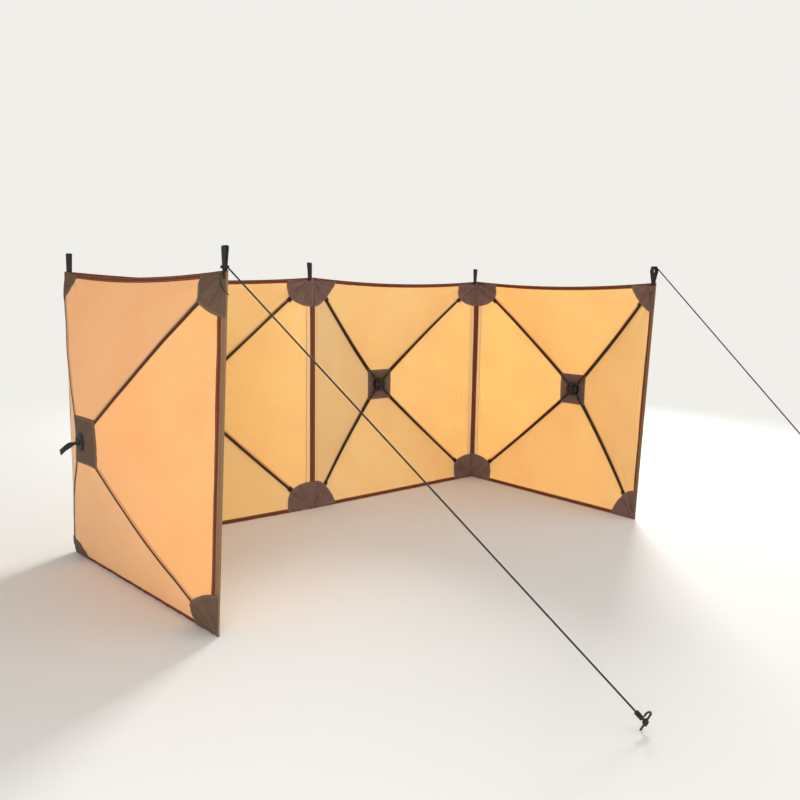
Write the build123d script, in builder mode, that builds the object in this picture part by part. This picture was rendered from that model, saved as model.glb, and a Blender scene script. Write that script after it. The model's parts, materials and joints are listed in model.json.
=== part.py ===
from build123d import *
from math import atan2, cos, degrees, hypot, radians, sin, sqrt, tan
import os

# Beach windbreak: four square panels of cloth joined edge to edge by cloth seams.
# Each panel is held open by four rods that run from a moulded hub to pockets in its
# corners, and the hub is popped outwards, so that the cloth bellies away from the shelter.
# Millimetres. +Z is up, the ground is at z = 0, the origin is at the foot of the seam
# between the two back panels, and the sheltered side faces -Y.

# Panels and the plan they stand in
panel_width = 1400.0
panel_height = 1400.0
left_corner_angle = 84.0
back_corner_angle = 183.0
right_corner_angle = 89.0
left_edge_lean = 100.0
right_edge_lean = 50.0

# Belly of the cloth: how far the hub stands out, and how much the rods bow past straight
hub_rise = 250.0
rod_bow = 20.0

# Cloth: thicknesses are larger than the real cloth's, so that each piece is a sound solid
cloth = 1.6
patch_cloth = 1.6
top_sag = 28.0
hem_width = 20.0
band_width = 36.0
corner_patch_radius = 170.0
corner_patch_inset = 14.0
hub_patch_side = 200.0

# Seams: a stitched bead on the hinge line, carried by the panel that stays
bead_radius = 3.0
bead_sides = 12
seam_gap = 0.4
hinge_gap = bead_radius + seam_gap

# Rods and the pockets that take their ends
rod_radius = 5.5
rod_sides = 8
rod_fit = 0.2
rod_end_inset = 42.0
middle_offset = 15.0
hub_offset = 28.0
pocket_fit = 0.4
pocket_wall = 1.6
pocket_lift = 0.3
pocket_end_inset = 30.0
keeper_gap = 2.0
keeper_width = 24.0
keeper_wall = 1.6
keeper_root = 9.0

# Hub
hub_radius = 42.0
hub_sides = 16
hub_bevel = 3.0
hub_thickness = 26.0
hub_waist_radius = 20.0
flange_radius = 38.0
flange_thickness = 3.0
spigot_radius = 26.0
cap_thickness = 6.5
cap_rim = 2.5
cap_bevel = 9.0
cap_gap = 0.4
spigot_hole = spigot_radius + cap_gap
pin_circle = 30.0
pin_radius = 3.0
pin_fit = 0.2
eye_radius = 8.0
eye_width = 12.0
slot_fit = 0.5
socket_wall = 2.6
neck_gap = 1.2
socket_length = 62.0
socket_grip = 42.0

# Webbing: the loops on the top corners and the pull tab on each hub
webbing_width = 25.0
webbing_thickness = 2.0
loop_height = 88.0
loop_spread = 16.0
open_loop_spread = 46.0
loop_base_height = 11.0
loop_inset = 8.0
tab_reach = 78.0
tab_drop = 34.0

# Guy lines and pegs
line_radius = 2.5
guy_run = 1500.0
left_guy_heading = -61.5
right_guy_heading = -88.0
peg_radius = 3.5
peg_height = 62.0
peg_lean = 25.0
peg_hook_radius = 11.0
peg_hook_turn = 45.0
peg_tip = 8.0
knot_radius = 7.0
hitch_fit = 0.4
hitch_height = 32.0
left_tie_height = 12.0
left_tie_gap = 9.0
tail_radius = 2.0


def heading_vector(angle):
    return Vector(cos(radians(angle)), sin(radians(angle)), 0)


class Panel:
    """One panel, drawn in its own upright plane: x along the wall, y up, z into the shelter."""

    def __init__(self, name, start, heading, bottom, top):
        self.name = name
        self.start = start
        self.along = heading_vector(heading)
        self.outward = heading_vector(heading + 90)
        self.plane = Plane(origin=start, x_dir=self.along, z_dir=-self.outward)
        self.corners = [(bottom[0], 0), (top[0], panel_height), (top[1], panel_height), (bottom[1], 0)]
        self.hub = (sum(x for x, y in self.corners) / 4, panel_height / 2)

    def point(self, x, y, depth=0.0):
        """A point of the panel; depth is measured outwards from the upright plane."""
        return self.start + self.along * x + Vector(0, 0, y) + self.outward * depth

    def edge(self, number):
        """The ends of an edge, clockwise from the shelter: 0 start, 1 top, 2 end, 3 bottom."""
        return self.corners[number], self.corners[(number + 1) % 4]

    def inward(self, number):
        """The unit vector in the panel's plane from an edge towards the hub."""
        (ax, ay), (bx, by) = self.edge(number)
        length = hypot(bx - ax, by - ay)
        return (by - ay) / length, (ax - bx) / length

    def reach(self, number):
        """The distance from an edge to the hub."""
        (ax, ay), (nx, ny) = self.edge(number)[0], self.inward(number)
        return (self.hub[0] - ax) * nx + (self.hub[1] - ay) * ny

    def share(self, point):
        """How far a point is from the nearest edge, as a share of the way to the hub."""
        x, y = (point - self.start).dot(self.along), point.Z
        shares = []
        for number in range(4):
            (ax, ay), (nx, ny) = self.edge(number)[0], self.inward(number)
            shares.append(((x - ax) * nx + (y - ay) * ny) / self.reach(number))
        return min(shares)


def crest():
    """Height of the control point of the belly's curve over the panel's plane."""
    return hub_rise / 2 + 2 * rod_bow


def corner_offset():
    """Depth from the cloth's outer face to a rod's centre line at its corner, such that the
    rod's pocket is let into the corner patch and stays clear of the cloth."""
    slope = 4 * crest() / min(panel_width, panel_height)
    return cloth + (rod_radius + pocket_fit + pocket_wall) * hypot(1, slope) + pocket_lift


def belly_height(t):
    """Depth of the cloth's outer face at a share t of the way from an edge to the hub."""
    return 2 * crest() * t * (1 - t) + hub_rise * t * t


def belly(reach, shift):
    """The belly's arc from just outside an edge to just past the hub, in a section square to
    the edge, shifted outwards."""
    return ThreePointArc(*((reach * t, belly_height(t) + shift) for t in (-0.04, 0.5, 1.04)))


def skin(panel, number, low, high, outline):
    """A layer of the belly over one edge's triangle, between two depths from the cloth's
    outer face, trimmed to a front-view outline."""
    nx, ny = panel.inward(number)
    reach = panel.reach(number)
    foot = (panel.hub[0] - nx * reach, panel.hub[1] - ny * reach)
    across = panel.along * nx + Vector(0, 0, ny)
    section = Plane(origin=panel.point(*foot), x_dir=across, z_dir=across.cross(panel.outward))
    front = panel.plane.offset(-hub_rise - panel_width / 8)
    with BuildPart() as layer:
        with BuildSketch(section.offset(-panel_width)):
            with BuildLine():
                upper = belly(reach, high)
                lower = belly(reach, low)
                Line(upper @ 0, lower @ 0)
                Line(upper @ 1, lower @ 1)
            make_face()
        extrude(amount=2 * panel_width)
        with BuildSketch(front):
            add(outline)
        extrude(amount=hub_rise + panel_width / 4, mode=Mode.INTERSECT)
    return layer.part


def edge_line(a, b, inward, sag):
    """An edge of the outline, straight or sagging towards the hub."""
    if sag == 0:
        return Line(a, b)
    middle = ((a[0] + b[0]) / 2 + inward[0] * sag, (a[1] + b[1]) / 2 + inward[1] * sag)
    return ThreePointArc(a, middle, b)


def strip_width(number):
    return hem_width if number in (1, 3) else band_width


def edge_sag(number):
    return top_sag if number == 1 else 0.0


def triangle(panel, number, keep_strip, keep_middle):
    """The front view of one triangle of a panel: its edge strip, the cloth inside it, or both."""
    a, b = panel.edge(number)
    inward = panel.inward(number)
    width = strip_width(number)
    inner_a = (a[0] + inward[0] * width, a[1] + inward[1] * width)
    inner_b = (b[0] + inward[0] * width, b[1] + inward[1] * width)
    with BuildSketch() as outline:
        with BuildLine():
            edge_line(a, b, inward, edge_sag(number))
            Polyline(b, panel.hub, a)
        make_face()
        if not (keep_strip and keep_middle):
            with BuildLine():
                edge_line(inner_a, inner_b, inward, edge_sag(number))
                reach = panel.reach(number)
                far_a = (inner_a[0] + inward[0] * reach, inner_a[1] + inward[1] * reach)
                far_b = (inner_b[0] + inward[0] * reach, inner_b[1] + inward[1] * reach)
                Polyline(inner_b, far_b, far_a, inner_a)
            make_face(mode=Mode.SUBTRACT if keep_strip else Mode.INTERSECT)
        with Locations(panel.hub):
            Rectangle(2 * spigot_hole, 2 * spigot_hole, mode=Mode.SUBTRACT)
    return outline.sketch


def gore(panel, number):
    """The main cloth of one triangle."""
    return skin(panel, number, -cloth, 0, triangle(panel, number, False, True))


def strip(panel, number):
    """The hem or side band along one edge."""
    return skin(panel, number, -cloth, 0, triangle(panel, number, True, False))


def bead(panel, x):
    """The stitched bead on a seam's hinge line, which stops short of the hems."""
    with BuildPart() as bead_part:
        with BuildSketch(Plane(origin=panel.point(x, hinge_gap), x_dir=panel.along, z_dir=(0, 0, 1))):
            RegularPolygon(bead_radius, bead_sides)
        extrude(amount=panel_height - 2 * hinge_gap)
    return bead_part.part


def rod_curve(panel, corner):
    """A rod's centre line: an arc from the panel's corner to the middle of its hub."""
    cx, cy = panel.corners[corner]
    hx, hy = panel.hub
    return Edge.make_three_point_arc(
        panel.point(cx, cy, -corner_offset()),
        panel.point((cx + hx) / 2, (cy + hy) / 2, belly_height(0.5) - middle_offset),
        panel.point(hx, hy, hub_rise - hub_offset),
    )


def rod_stretch(panel, corner, inset, outset):
    """Start, middle and end of the part of a rod's centre line that starts at a distance from
    the corner and ends at a distance from the hub."""
    curve = rod_curve(panel, corner)
    t0, t1 = inset / curve.length, 1 - outset / curve.length
    return tuple(curve.position_at(t) for t in (t0, (t0 + t1) / 2, t1))


def rod(panel, corner):
    """One rod, from its corner pocket to its socket on the hub."""
    path = Edge.make_three_point_arc(*rod_stretch(panel, corner, rod_end_inset,
                                                  pin_circle + socket_length - socket_grip))
    towards_centre = path.arc_center - path @ 0
    with BuildPart() as bar:
        with BuildSketch(Plane(origin=path @ 0, x_dir=towards_centre, z_dir=path % 0)):
            RegularPolygon(rod_radius, rod_sides)
        revolve(axis=Axis(path.arc_center, (path % 0).cross(towards_centre)),
                revolution_arc=degrees(path.length / path.radius))
    return bar.part


def pocket_mouth(panel, corner):
    """The distance along a rod's centre line from its corner to the edge of the corner patch."""
    run = rod_curve(panel, corner)
    slope = (run % 0).dot(panel.outward)
    return corner_patch_radius / sqrt(1 - slope * slope)


def straight_bar(panel, ends, radius):
    """A straight bar between the ends of a short stretch of a rod's curve, with flats that
    stand on the radius."""
    start, end = ends[0], ends[-1]
    with BuildPart() as bar:
        with BuildSketch(Plane(origin=start, x_dir=panel.outward, z_dir=end - start)):
            RegularPolygon(radius, rod_sides, major_radius=False)
        extrude(amount=(end - start).length)
    return bar.part


def corner_outline(panel, corner, number):
    """The part of a corner's quarter disc that lies over one edge's triangle."""
    cx, cy = panel.corners[corner]
    previous, following = (corner - 1) % 4, corner
    with BuildSketch() as outline:
        with Locations((cx, cy)):
            Circle(corner_patch_radius)
        add(triangle(panel, number, True, True), mode=Mode.INTERSECT)
        for side in (previous, following):
            nx, ny = panel.inward(side)
            angle = degrees(atan2(ny, nx))
            sag = edge_sag(side) * corner_patch_radius / panel_width * 2
            shift = corner_patch_inset + sag
            with Locations(Location((cx + nx * shift, cy + ny * shift, 0), (0, 0, angle))):
                Rectangle(2 * corner_patch_radius, 4 * corner_patch_radius,
                          align=(Align.MAX, Align.CENTER), mode=Mode.SUBTRACT)
    return outline.sketch


def corner_patch(panel, corner):
    """The quarter disc of stout cloth inside a corner, with the pocket for the rod's end."""
    low, high = -cloth - patch_cloth, -cloth
    halves = [skin(panel, number, low, high, corner_outline(panel, corner, number))
              for number in ((corner - 1) % 4, corner)]
    length = rod_curve(panel, corner).length
    mouth = length - pocket_mouth(panel, corner)
    sleeve = straight_bar(panel, rod_stretch(panel, corner, pocket_end_inset, mouth),
                          rod_radius + pocket_fit + pocket_wall)
    hollow = straight_bar(panel, rod_stretch(panel, corner, rod_end_inset, mouth - 1),
                          rod_radius + pocket_fit)
    with BuildPart() as patch:
        add(sleeve)
        add(halves)
        add(hollow, mode=Mode.SUBTRACT)
    return patch.part


def hub_patches(panel):
    """Two squares of stout cloth round the hub, one on each face of the panel's cloth."""
    outlines = []
    for number in range(4):
        with BuildSketch() as outline:
            with Locations(panel.hub):
                Rectangle(hub_patch_side, hub_patch_side)
            add(triangle(panel, number, True, True), mode=Mode.INTERSECT)
        outlines.append(outline.sketch)
    quarters = [skin(panel, number, 0, patch_cloth, outlines[number]) for number in range(4)]
    with BuildPart() as layer:
        add(quarters)
    return [layer.part, layer.part.moved(Location(panel.outward * -(cloth + patch_cloth)))]


def belly_depth(panel, number, distance):
    """Depth of the cloth's outer face at a distance from the hub, square to an edge."""
    return belly_height(1 - distance / panel.reach(number))


def hub_depths(panel):
    """Depths of the hub's features, outwards from the panel's plane."""
    cap_face = max(belly_depth(panel, number, spigot_hole) for number in range(4)) + patch_cloth + cap_gap
    flange_face = (min(belly_depth(panel, number, flange_radius) for number in range(4))
                   - cloth - patch_cloth - cap_gap)
    pin = rod_stretch(panel, 0, 0, pin_circle)[2]
    pin_depth = (pin - panel.start).dot(panel.outward)
    return cap_face, flange_face, pin_depth


def hub_plane(panel, depth):
    """A plane across the hub's axis at a depth, facing outwards."""
    return Plane(origin=panel.point(*panel.hub, depth), x_dir=panel.along, z_dir=panel.outward)


def hub_body(panel):
    """The moulded hub: a slotted block that holds the four sockets on pins, a waist, a flange
    against the inside of the cloth, a spigot through it and a bevelled cap outside."""
    cap_face, flange_face, pin_depth = hub_depths(panel)
    base = pin_depth - hub_thickness / 2
    shoulder = pin_depth + hub_thickness / 2
    stack = (
        (hub_radius, base + hub_bevel, shoulder),
        (hub_waist_radius, shoulder - 1, flange_face),
        (flange_radius, flange_face - flange_thickness, flange_face),
        (spigot_radius, flange_face - 1, cap_face + 1),
        (flange_radius, cap_face, cap_face + cap_rim),
    )
    bevels = (
        (hub_radius, base + hub_bevel, -hub_bevel, hub_bevel),
        (flange_radius, cap_face + cap_rim, cap_thickness - cap_rim, cap_bevel),
    )
    with BuildPart() as body:
        for radius, low, high in stack:
            with BuildSketch(hub_plane(panel, low)):
                RegularPolygon(radius, hub_sides)
            extrude(amount=high - low)
        for radius, low, rise, inset in bevels:
            with BuildSketch(hub_plane(panel, low)):
                RegularPolygon(radius, hub_sides)
            extrude(amount=rise, taper=degrees(atan2(inset, abs(rise))))
        for corner in range(4):
            arm, pin_plane = clevis_frame(panel, corner)
            with BuildSketch(arm.offset(-hub_thickness)):
                Rectangle(2 * hub_radius, eye_width + 2 * slot_fit, align=(Align.MIN, Align.CENTER))
            extrude(amount=1.5 * hub_thickness + 1, mode=Mode.SUBTRACT)
        for corner in range(4):
            arm, pin_plane = clevis_frame(panel, corner)
            with BuildSketch(pin_plane):
                RegularPolygon(pin_radius, rod_sides)
            extrude(amount=eye_width / 2 + 4, both=True)
    return body.part


def clevis_frame(panel, corner):
    """Planes at a rod's pin: one square to the panel with x out along the rod and its origin
    at the slot's root, and one square to the pin."""
    cx, cy = panel.corners[corner]
    hx, hy = panel.hub
    length = hypot(cx - hx, cy - hy)
    out = panel.along * ((cx - hx) / length) + Vector(0, 0, (cy - hy) / length)
    pin = rod_stretch(panel, corner, 0, pin_circle)[2]
    root = pin - out * (eye_radius + 1.5)
    arm = Plane(origin=root, x_dir=out, z_dir=panel.outward)
    pin_plane = Plane(origin=pin, x_dir=out, z_dir=out.cross(panel.outward))
    return arm, pin_plane


def socket(panel, corner):
    """The moulded socket on a rod's end: a barrel with an eye that turns on the hub's pin."""
    arm, pin_plane = clevis_frame(panel, corner)
    rim = rod_radius + rod_fit + socket_wall
    mouth = rod_curve(panel, corner).length - pin_circle - socket_length
    neck = hub_radius + neck_gap
    barrel = straight_bar(panel, rod_stretch(panel, corner, mouth, neck), rim)
    bore = straight_bar(panel,
                        rod_stretch(panel, corner, mouth - 1, pin_circle + socket_length - socket_grip),
                        rod_radius + rod_fit)
    with BuildPart() as piece:
        with BuildSketch(pin_plane):
            RegularPolygon(eye_radius, hub_sides)
            Rectangle(neck + socket_wall - pin_circle, 2 * eye_radius - 3, align=(Align.MIN, Align.CENTER))
        extrude(amount=eye_width / 2, both=True)
        add(barrel)
        with BuildSketch(pin_plane):
            RegularPolygon(pin_radius + pin_fit, rod_sides)
        extrude(amount=eye_width, both=True, mode=Mode.SUBTRACT)
        add(bore, mode=Mode.SUBTRACT)
    return piece.part


def cloth_above(panel, point):
    """From a point to the inner face of the cloth over it, square to the panel."""
    return belly_height(panel.share(point)) - cloth - (point - panel.start).dot(panel.outward)


def keeper(panel, corner):
    """The loop of webbing that holds a rod to the cloth at the mouth of its pocket."""
    length = rod_curve(panel, corner).length
    start = pocket_mouth(panel, corner) + keeper_gap
    ends = rod_stretch(panel, corner, start, length - start - keeper_width)
    run = ends[2] - ends[0]
    section = Plane(origin=ends[0], x_dir=panel.outward, z_dir=run)
    inner = rod_radius + rod_fit
    tilt = section.x_dir.dot(panel.outward)
    seat = min(cloth_above(panel, end + section.y_dir * side * keeper_root / 2)
               for end in (ends[0], ends[2]) for side in (-1, 1))
    with BuildPart() as piece:
        with BuildSketch(section):
            RegularPolygon(inner + keeper_wall, rod_sides, major_radius=False)
            Rectangle((seat - seam_gap) * tilt, keeper_root, align=(Align.MIN, Align.CENTER))
            RegularPolygon(inner, rod_sides, major_radius=False, mode=Mode.SUBTRACT)
        extrude(amount=run.length)
    return piece.part


def local_cloth(panel, corner, centre, side):
    """The cloth of both triangles that meet at a corner, within a square round a point."""
    layers = []
    for number in ((corner - 1) % 4, corner):
        with BuildSketch() as outline:
            with Locations(centre):
                Rectangle(side, side)
            add(triangle(panel, number, True, True), mode=Mode.INTERSECT)
        if outline.sketch.area > 0:
            layers.append(skin(panel, number, -cloth, 0, outline.sketch))
    return layers


def webbing_loop(panel, corner, x, spread):
    """A loop of folded webbing that stands on the top hem and wraps its edge."""
    wrapped = local_cloth(panel, corner, (x, panel_height), 3 * webbing_width)
    section = Plane(origin=panel.point(x, panel_height), x_dir=panel.outward,
                    z_dir=panel.outward.cross(Vector(0, 0, 1)))
    radius = spread / 2
    top = loop_height - radius
    half_base = 3.0
    with BuildPart() as piece:
        with BuildSketch(section):
            with BuildLine():
                left = Line((-half_base, 2), (-radius, top))
                right = Line((half_base, 2), (radius, top))
                ThreePointArc(left @ 1, (0, loop_height), right @ 1)
                Line(left @ 0, right @ 0)
            make_face()
            offset(amount=-webbing_thickness, mode=Mode.SUBTRACT)
            Rectangle(2 * half_base + 2 * webbing_thickness, loop_base_height,
                      align=(Align.CENTER, Align.MAX))
            with Locations((0, 0)):
                Rectangle(2 * half_base, 5, align=(Align.CENTER, Align.MIN))
        extrude(amount=webbing_width / 2, both=True)
        add(wrapped, mode=Mode.SUBTRACT)
    return piece.part


def pull_tab(panel):
    """The strap on the outside of a hub by which it is pulled out."""
    cap_face, flange_face, pin_depth = hub_depths(panel)
    root = cap_face + cap_thickness
    section = Plane(origin=panel.point(*panel.hub, root), x_dir=panel.outward,
                    z_dir=panel.outward.cross(Vector(0, 0, 1)))
    with BuildPart() as piece:
        with BuildSketch(section):
            with BuildLine():
                upper = ThreePointArc((0, webbing_thickness), (tab_reach / 2, -tab_drop * 0.2),
                                      (tab_reach, -tab_drop))
                lower = ThreePointArc((0, -webbing_thickness), (tab_reach / 2 - webbing_thickness,
                                      -tab_drop * 0.2 - 2 * webbing_thickness),
                                      (tab_reach - webbing_thickness, -tab_drop - 2 * webbing_thickness))
                Line(upper @ 0, lower @ 0)
                Line(upper @ 1, lower @ 1)
            make_face()
        extrude(amount=webbing_width / 2, both=True)
    return piece.part


def peg_axis(heading):
    """The unit vector up a peg's shank, which leans away from its line."""
    tilt = radians(peg_lean)
    return Vector(0, 0, 1) * cos(tilt) + heading_vector(heading) * sin(tilt)


def peg(position, heading):
    """A wire peg, shown from the ground up, with its hook turned back and to one side of its line."""
    axis = peg_axis(heading)
    back = axis.cross(heading_vector(heading + 180 + peg_hook_turn)).normalized().cross(axis)
    foot = position - axis * (peg_height / 4)
    neck = position + axis * peg_height
    tip = neck + back * (2 * peg_hook_radius)
    with BuildPart() as piece:
        for start, way, length in ((foot, axis, (neck - foot).length), (tip, -axis, peg_tip)):
            with BuildSketch(Plane(origin=start, x_dir=back, z_dir=way)):
                RegularPolygon(peg_radius, rod_sides)
            extrude(amount=length)
        with BuildSketch(Plane(origin=neck, x_dir=back, z_dir=axis)):
            RegularPolygon(peg_radius, rod_sides)
        revolve(axis=Axis(neck + back * peg_hook_radius, axis.cross(back)), revolution_arc=180)
        split(bisect_by=Plane.XY, keep=Keep.TOP)
    return piece.part


def guy_line(hitch, hole, foot, peg_part):
    """A taut line: hitched round a strap that crosses a plane, and knotted round its peg."""
    side = 1 if (foot - hitch.origin).dot(hitch.x_dir) > 0 else -1
    start = hitch.origin + hitch.x_dir * side * (hole[0] / 2 + line_radius)
    direction = (foot - start).normalized()
    with BuildPart() as line:
        with BuildSketch(hitch):
            collar = Rectangle(hole[0] + 4 * line_radius, hole[1] + 4 * line_radius)
            chamfer(collar.vertices(), line_radius)
            Rectangle(*hole, mode=Mode.SUBTRACT)
        extrude(amount=line_radius, both=True)
        with BuildSketch(Plane(origin=start, z_dir=direction)):
            RegularPolygon(line_radius, rod_sides)
        extrude(amount=(foot - start).length)
        with BuildSketch(Plane(origin=foot - direction * knot_radius, z_dir=direction)):
            RegularPolygon(knot_radius, rod_sides)
        extrude(amount=2 * knot_radius)
        add(peg_part, mode=Mode.SUBTRACT)
    return line.part


def cord_tail(route):
    """A loose end of cord: straight runs joined by arcs as large as the runs allow."""
    runs = [end - start for start, end in zip(route, route[1:])]
    radii = []
    for before, after in zip(runs, runs[1:]):
        shorter = min(before.length, after.length)
        radii.append(0.45 * shorter / tan(radians(before.get_angle(after)) / 2))
    print("tail radii", [round(radius, 1) for radius in radii])
    with BuildPart() as tail:
        with BuildLine():
            FilletPolyline(*route, radius=radii)
        with BuildSketch(Plane(origin=route[0], z_dir=runs[0])):
            RegularPolygon(tail_radius, rod_sides)
        sweep()
    return tail.part


def save(solids, name):
    """Write one named piece, made of one solid or of several that don't touch."""
    with BuildPart() as piece:
        add(solids)
    piece.part.label = name
    export_step(piece.part, f"parts/{name}.step")
    return piece.part


# Plan: each panel starts at a seam and runs to the next, clockwise seen from above
back_left_heading = (180 - back_corner_angle) / 2
back_right_heading = -back_left_heading
left_heading = back_left_heading + 180 - left_corner_angle
right_heading = back_right_heading - 180 + right_corner_angle
back_seam = Vector(0, 0, 0)
left_seam = back_seam - heading_vector(back_left_heading) * panel_width
right_seam = back_seam + heading_vector(back_right_heading) * panel_width
left_start = left_seam - heading_vector(left_heading) * panel_width

panels = [
    Panel("left_wing", left_start, left_heading,
          (left_edge_lean / 2, panel_width - hinge_gap), (-left_edge_lean / 2, panel_width - hinge_gap)),
    Panel("back_left", left_seam, back_left_heading, (0, panel_width), (0, panel_width)),
    Panel("back_right", back_seam, back_right_heading, (hinge_gap, panel_width), (hinge_gap, panel_width)),
    Panel("right_wing", right_seam, right_heading,
          (hinge_gap, panel_width - right_edge_lean / 2), (hinge_gap, panel_width + right_edge_lean / 2)),
]
beads = {"back_left": (0, panel_width), "back_right": (panel_width,)}
near = webbing_width / 2 + loop_inset
loops = {
    "left_wing": ((1, -left_edge_lean / 2 + near, loop_spread),),
    "back_left": ((1, near, loop_spread), (2, panel_width - near, loop_spread)),
    "back_right": ((2, panel_width - near, loop_spread),),
    "right_wing": ((2, panel_width + right_edge_lean / 2 - near, open_loop_spread),),
}

for panel in panels:
    name = panel.name
    gores = [gore(panel, number) for number in range(4)]
    strips = [strip(panel, number) for number in range(4)]
    side_bands = []
    for number, x in ((0, 0), (2, panel_width)):
        with BuildPart() as band:
            add(strips[number])
            if x in beads.get(name, ()):
                add(bead(panel, x))
        side_bands.append(band.part)
    save(gores[1], f"{name}_top_gore")
    save(gores[3], f"{name}_bottom_gore")
    save([gores[0], gores[2]], f"{name}_side_gores")
    save([strips[1], strips[3]], f"{name}_hems")
    save(side_bands, f"{name}_side_bands")
    save([corner_patch(panel, corner) for corner in range(4)], f"{name}_corner_patches")
    save(hub_patches(panel), f"{name}_hub_patches")
    save(hub_body(panel), f"{name}_hub")
    save([socket(panel, corner) for corner in range(4)], f"{name}_sockets")
    save([rod(panel, corner) for corner in range(4)], f"{name}_rods")
    webbing = [keeper(panel, corner) for corner in range(4)]
    webbing += [webbing_loop(panel, corner, x, spread) for corner, x, spread in loops[name]]
    webbing.append(pull_tab(panel))
    save(webbing, f"{name}_webbing")

left_wing, right_wing = panels[0], panels[3]
left_tie = Plane(origin=left_wing.point(loops["left_wing"][0][1], panel_height + left_tie_height),
                 x_dir=left_wing.along, z_dir=(0, 0, 1))
right_tie = Plane(origin=right_wing.point(loops["right_wing"][0][1],
                                          panel_height + loop_height - webbing_thickness / 2),
                  x_dir=right_wing.along, z_dir=right_wing.outward)
guys = (
    ("left", left_tie, (webbing_width + 2 * hitch_fit, left_tie_gap), left_guy_heading),
    ("right", right_tie, (webbing_width + 2 * hitch_fit, webbing_thickness + 2 * hitch_fit),
     right_guy_heading),
)
for side, tie, hole, heading in guys:
    ground = Vector(tie.origin.X, tie.origin.Y, 0) + heading_vector(heading) * guy_run
    peg_part = peg(ground, heading)
    save(peg_part, f"{side}_peg")
    foot = ground + peg_axis(heading) * hitch_height
    save(guy_line(tie, hole, foot, peg_part), f"{side}_guy")

# The loose end of the left guy line: steps from its hitch along the wall, outwards and down
tail_start = (loops["left_wing"][0][1], panel_height + left_tie_height - line_radius,
              left_tie_gap / 2 + line_radius + hitch_fit)
tail_steps = ((0, 0, 0), (0, -20, 0), (9, -42, 11), (-4, -66, 12), (-26, -84, 11), (-50, -95, 9))
tail_route = [left_wing.point(tail_start[0] + x, tail_start[1] + y, tail_start[2] + out)
              for x, y, out in tail_steps]
save(cord_tail(tail_route), "left_guy_tail")
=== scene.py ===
"""Beach windbreak: the looks of its cloth, webbing, rods, cords and pegs over the CAD frame."""
import json
from math import atan2, cos, hypot, pi, radians, sin

import bpy
import numpy as np
from bpy.props import FloatProperty, PointerProperty, StringProperty
from bpy.types import Operator, Panel, PropertyGroup
from mathutils import Matrix, Vector


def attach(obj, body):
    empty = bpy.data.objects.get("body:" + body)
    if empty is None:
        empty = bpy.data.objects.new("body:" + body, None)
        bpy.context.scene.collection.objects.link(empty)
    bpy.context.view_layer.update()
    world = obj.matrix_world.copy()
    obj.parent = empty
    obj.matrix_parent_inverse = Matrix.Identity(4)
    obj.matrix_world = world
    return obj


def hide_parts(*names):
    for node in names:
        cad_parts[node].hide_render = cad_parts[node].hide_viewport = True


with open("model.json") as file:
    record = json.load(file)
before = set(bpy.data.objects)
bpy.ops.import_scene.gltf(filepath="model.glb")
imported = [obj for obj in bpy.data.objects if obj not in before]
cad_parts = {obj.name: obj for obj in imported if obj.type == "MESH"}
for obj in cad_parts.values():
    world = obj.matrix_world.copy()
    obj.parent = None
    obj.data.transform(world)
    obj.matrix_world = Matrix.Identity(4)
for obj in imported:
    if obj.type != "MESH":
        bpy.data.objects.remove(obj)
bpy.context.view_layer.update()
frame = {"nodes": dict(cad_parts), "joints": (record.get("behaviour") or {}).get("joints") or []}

bl_info = {
    "name": "Beach windbreak",
    "version": (1, 0, 0),
    "blender": (4, 5, 0),
    "location": "3D View > Sidebar > Windbreak",
    "description": "Dresses the frame of a folding beach windbreak in cloth, webbing and cord",
    "category": "Object",
}

MM = 0.001
UP = np.array((0.0, 0.0, 1.0))

# The frame's gores are 1.6 mm thick; the shown cloth lies in their middle
GORE = 1.6 * MM
CLOTH_MIDDLE = -GORE / 2

# Folds. Each wave is its spacing in metres, or as a share of the way to the hub, and its height
# or weight.
SADDLE = 9 * MM
BROAD_WAVES = ((0.71, 2.2 * MM), (0.46, 1.3 * MM), (0.33, 0.9 * MM))
ROD_FOLD, ROD_SPACING, ROD_FADE = 1.4 * MM, 34 * MM, 50 * MM
ROD_DRIFT, ROD_PATCHES = ((1 / 1.7, 1.3), (1 / 4.1, 0.9)), 0.42
BAND_FOLD, BAND_SPACING, BAND_CREST, BAND_FADE = 2.0 * MM, 37 * MM, 50 * MM, 55 * MM
BAND_DRIFT, BAND_PATCHES = ((0.83, 1.6), (0.29, 0.7)), 1.1
HEM_FOLD, HEM_FADE = 0.8 * MM, 50 * MM
HEM_WAVES = ((0.093, 1.0), (0.051, 0.7), (0.21, 0.9))
CORNER_FOLD, CORNER_REACH, CORNER_SPREAD = 1.2 * MM, 0.12, 1.2
CORNER_RAYS = ((19, 1.0), (31, 0.8), (11, 0.5))  # folds in a full turn, and their weight
EDGE_HELD = 16 * MM                              # no folds within this of an upright edge
PLEAT, PLEATS = 5.0 * MM, 6.9                    # height, and number in half a turn

# How far a rod lies off the cloth at its ends and its middle
ROD_CLEAR, ROD_PLAY = 2.0 * MM, 0.3 * MM
ROD_INSIDE, ROD_END = 15 * MM, 28 * MM
PIN_REACH = 30 * MM                              # from the hub's middle to a socket's pin

GUY_RUN = 1.5                                    # from a loop to its peg, on the ground
PEG_LEAN = radians(25)
PEG_WIRE, PEG_BEND, PEG_RISE = 3.5, 11, 62       # radius, bend and straight height, in millimetres


def length(name, description, millimetres):
    """A size that a user would change, given in millimetres."""
    return FloatProperty(name=name, description=description, default=millimetres * MM,
                         min=0.1 * MM, unit="LENGTH", precision=4)


def coordinate(name, metres):
    """A coordinate of the camera."""
    return FloatProperty(name=name, description="Place of the camera", default=metres, unit="LENGTH")


def angle(name, description, degrees):
    """An angle that a user would change, given in degrees."""
    return FloatProperty(name=name, description=description, default=radians(degrees), subtype="ANGLE")


def power(name, description, watts):
    """The power of a lamp."""
    return FloatProperty(name=name, description=description, default=watts, unit="POWER")


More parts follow.
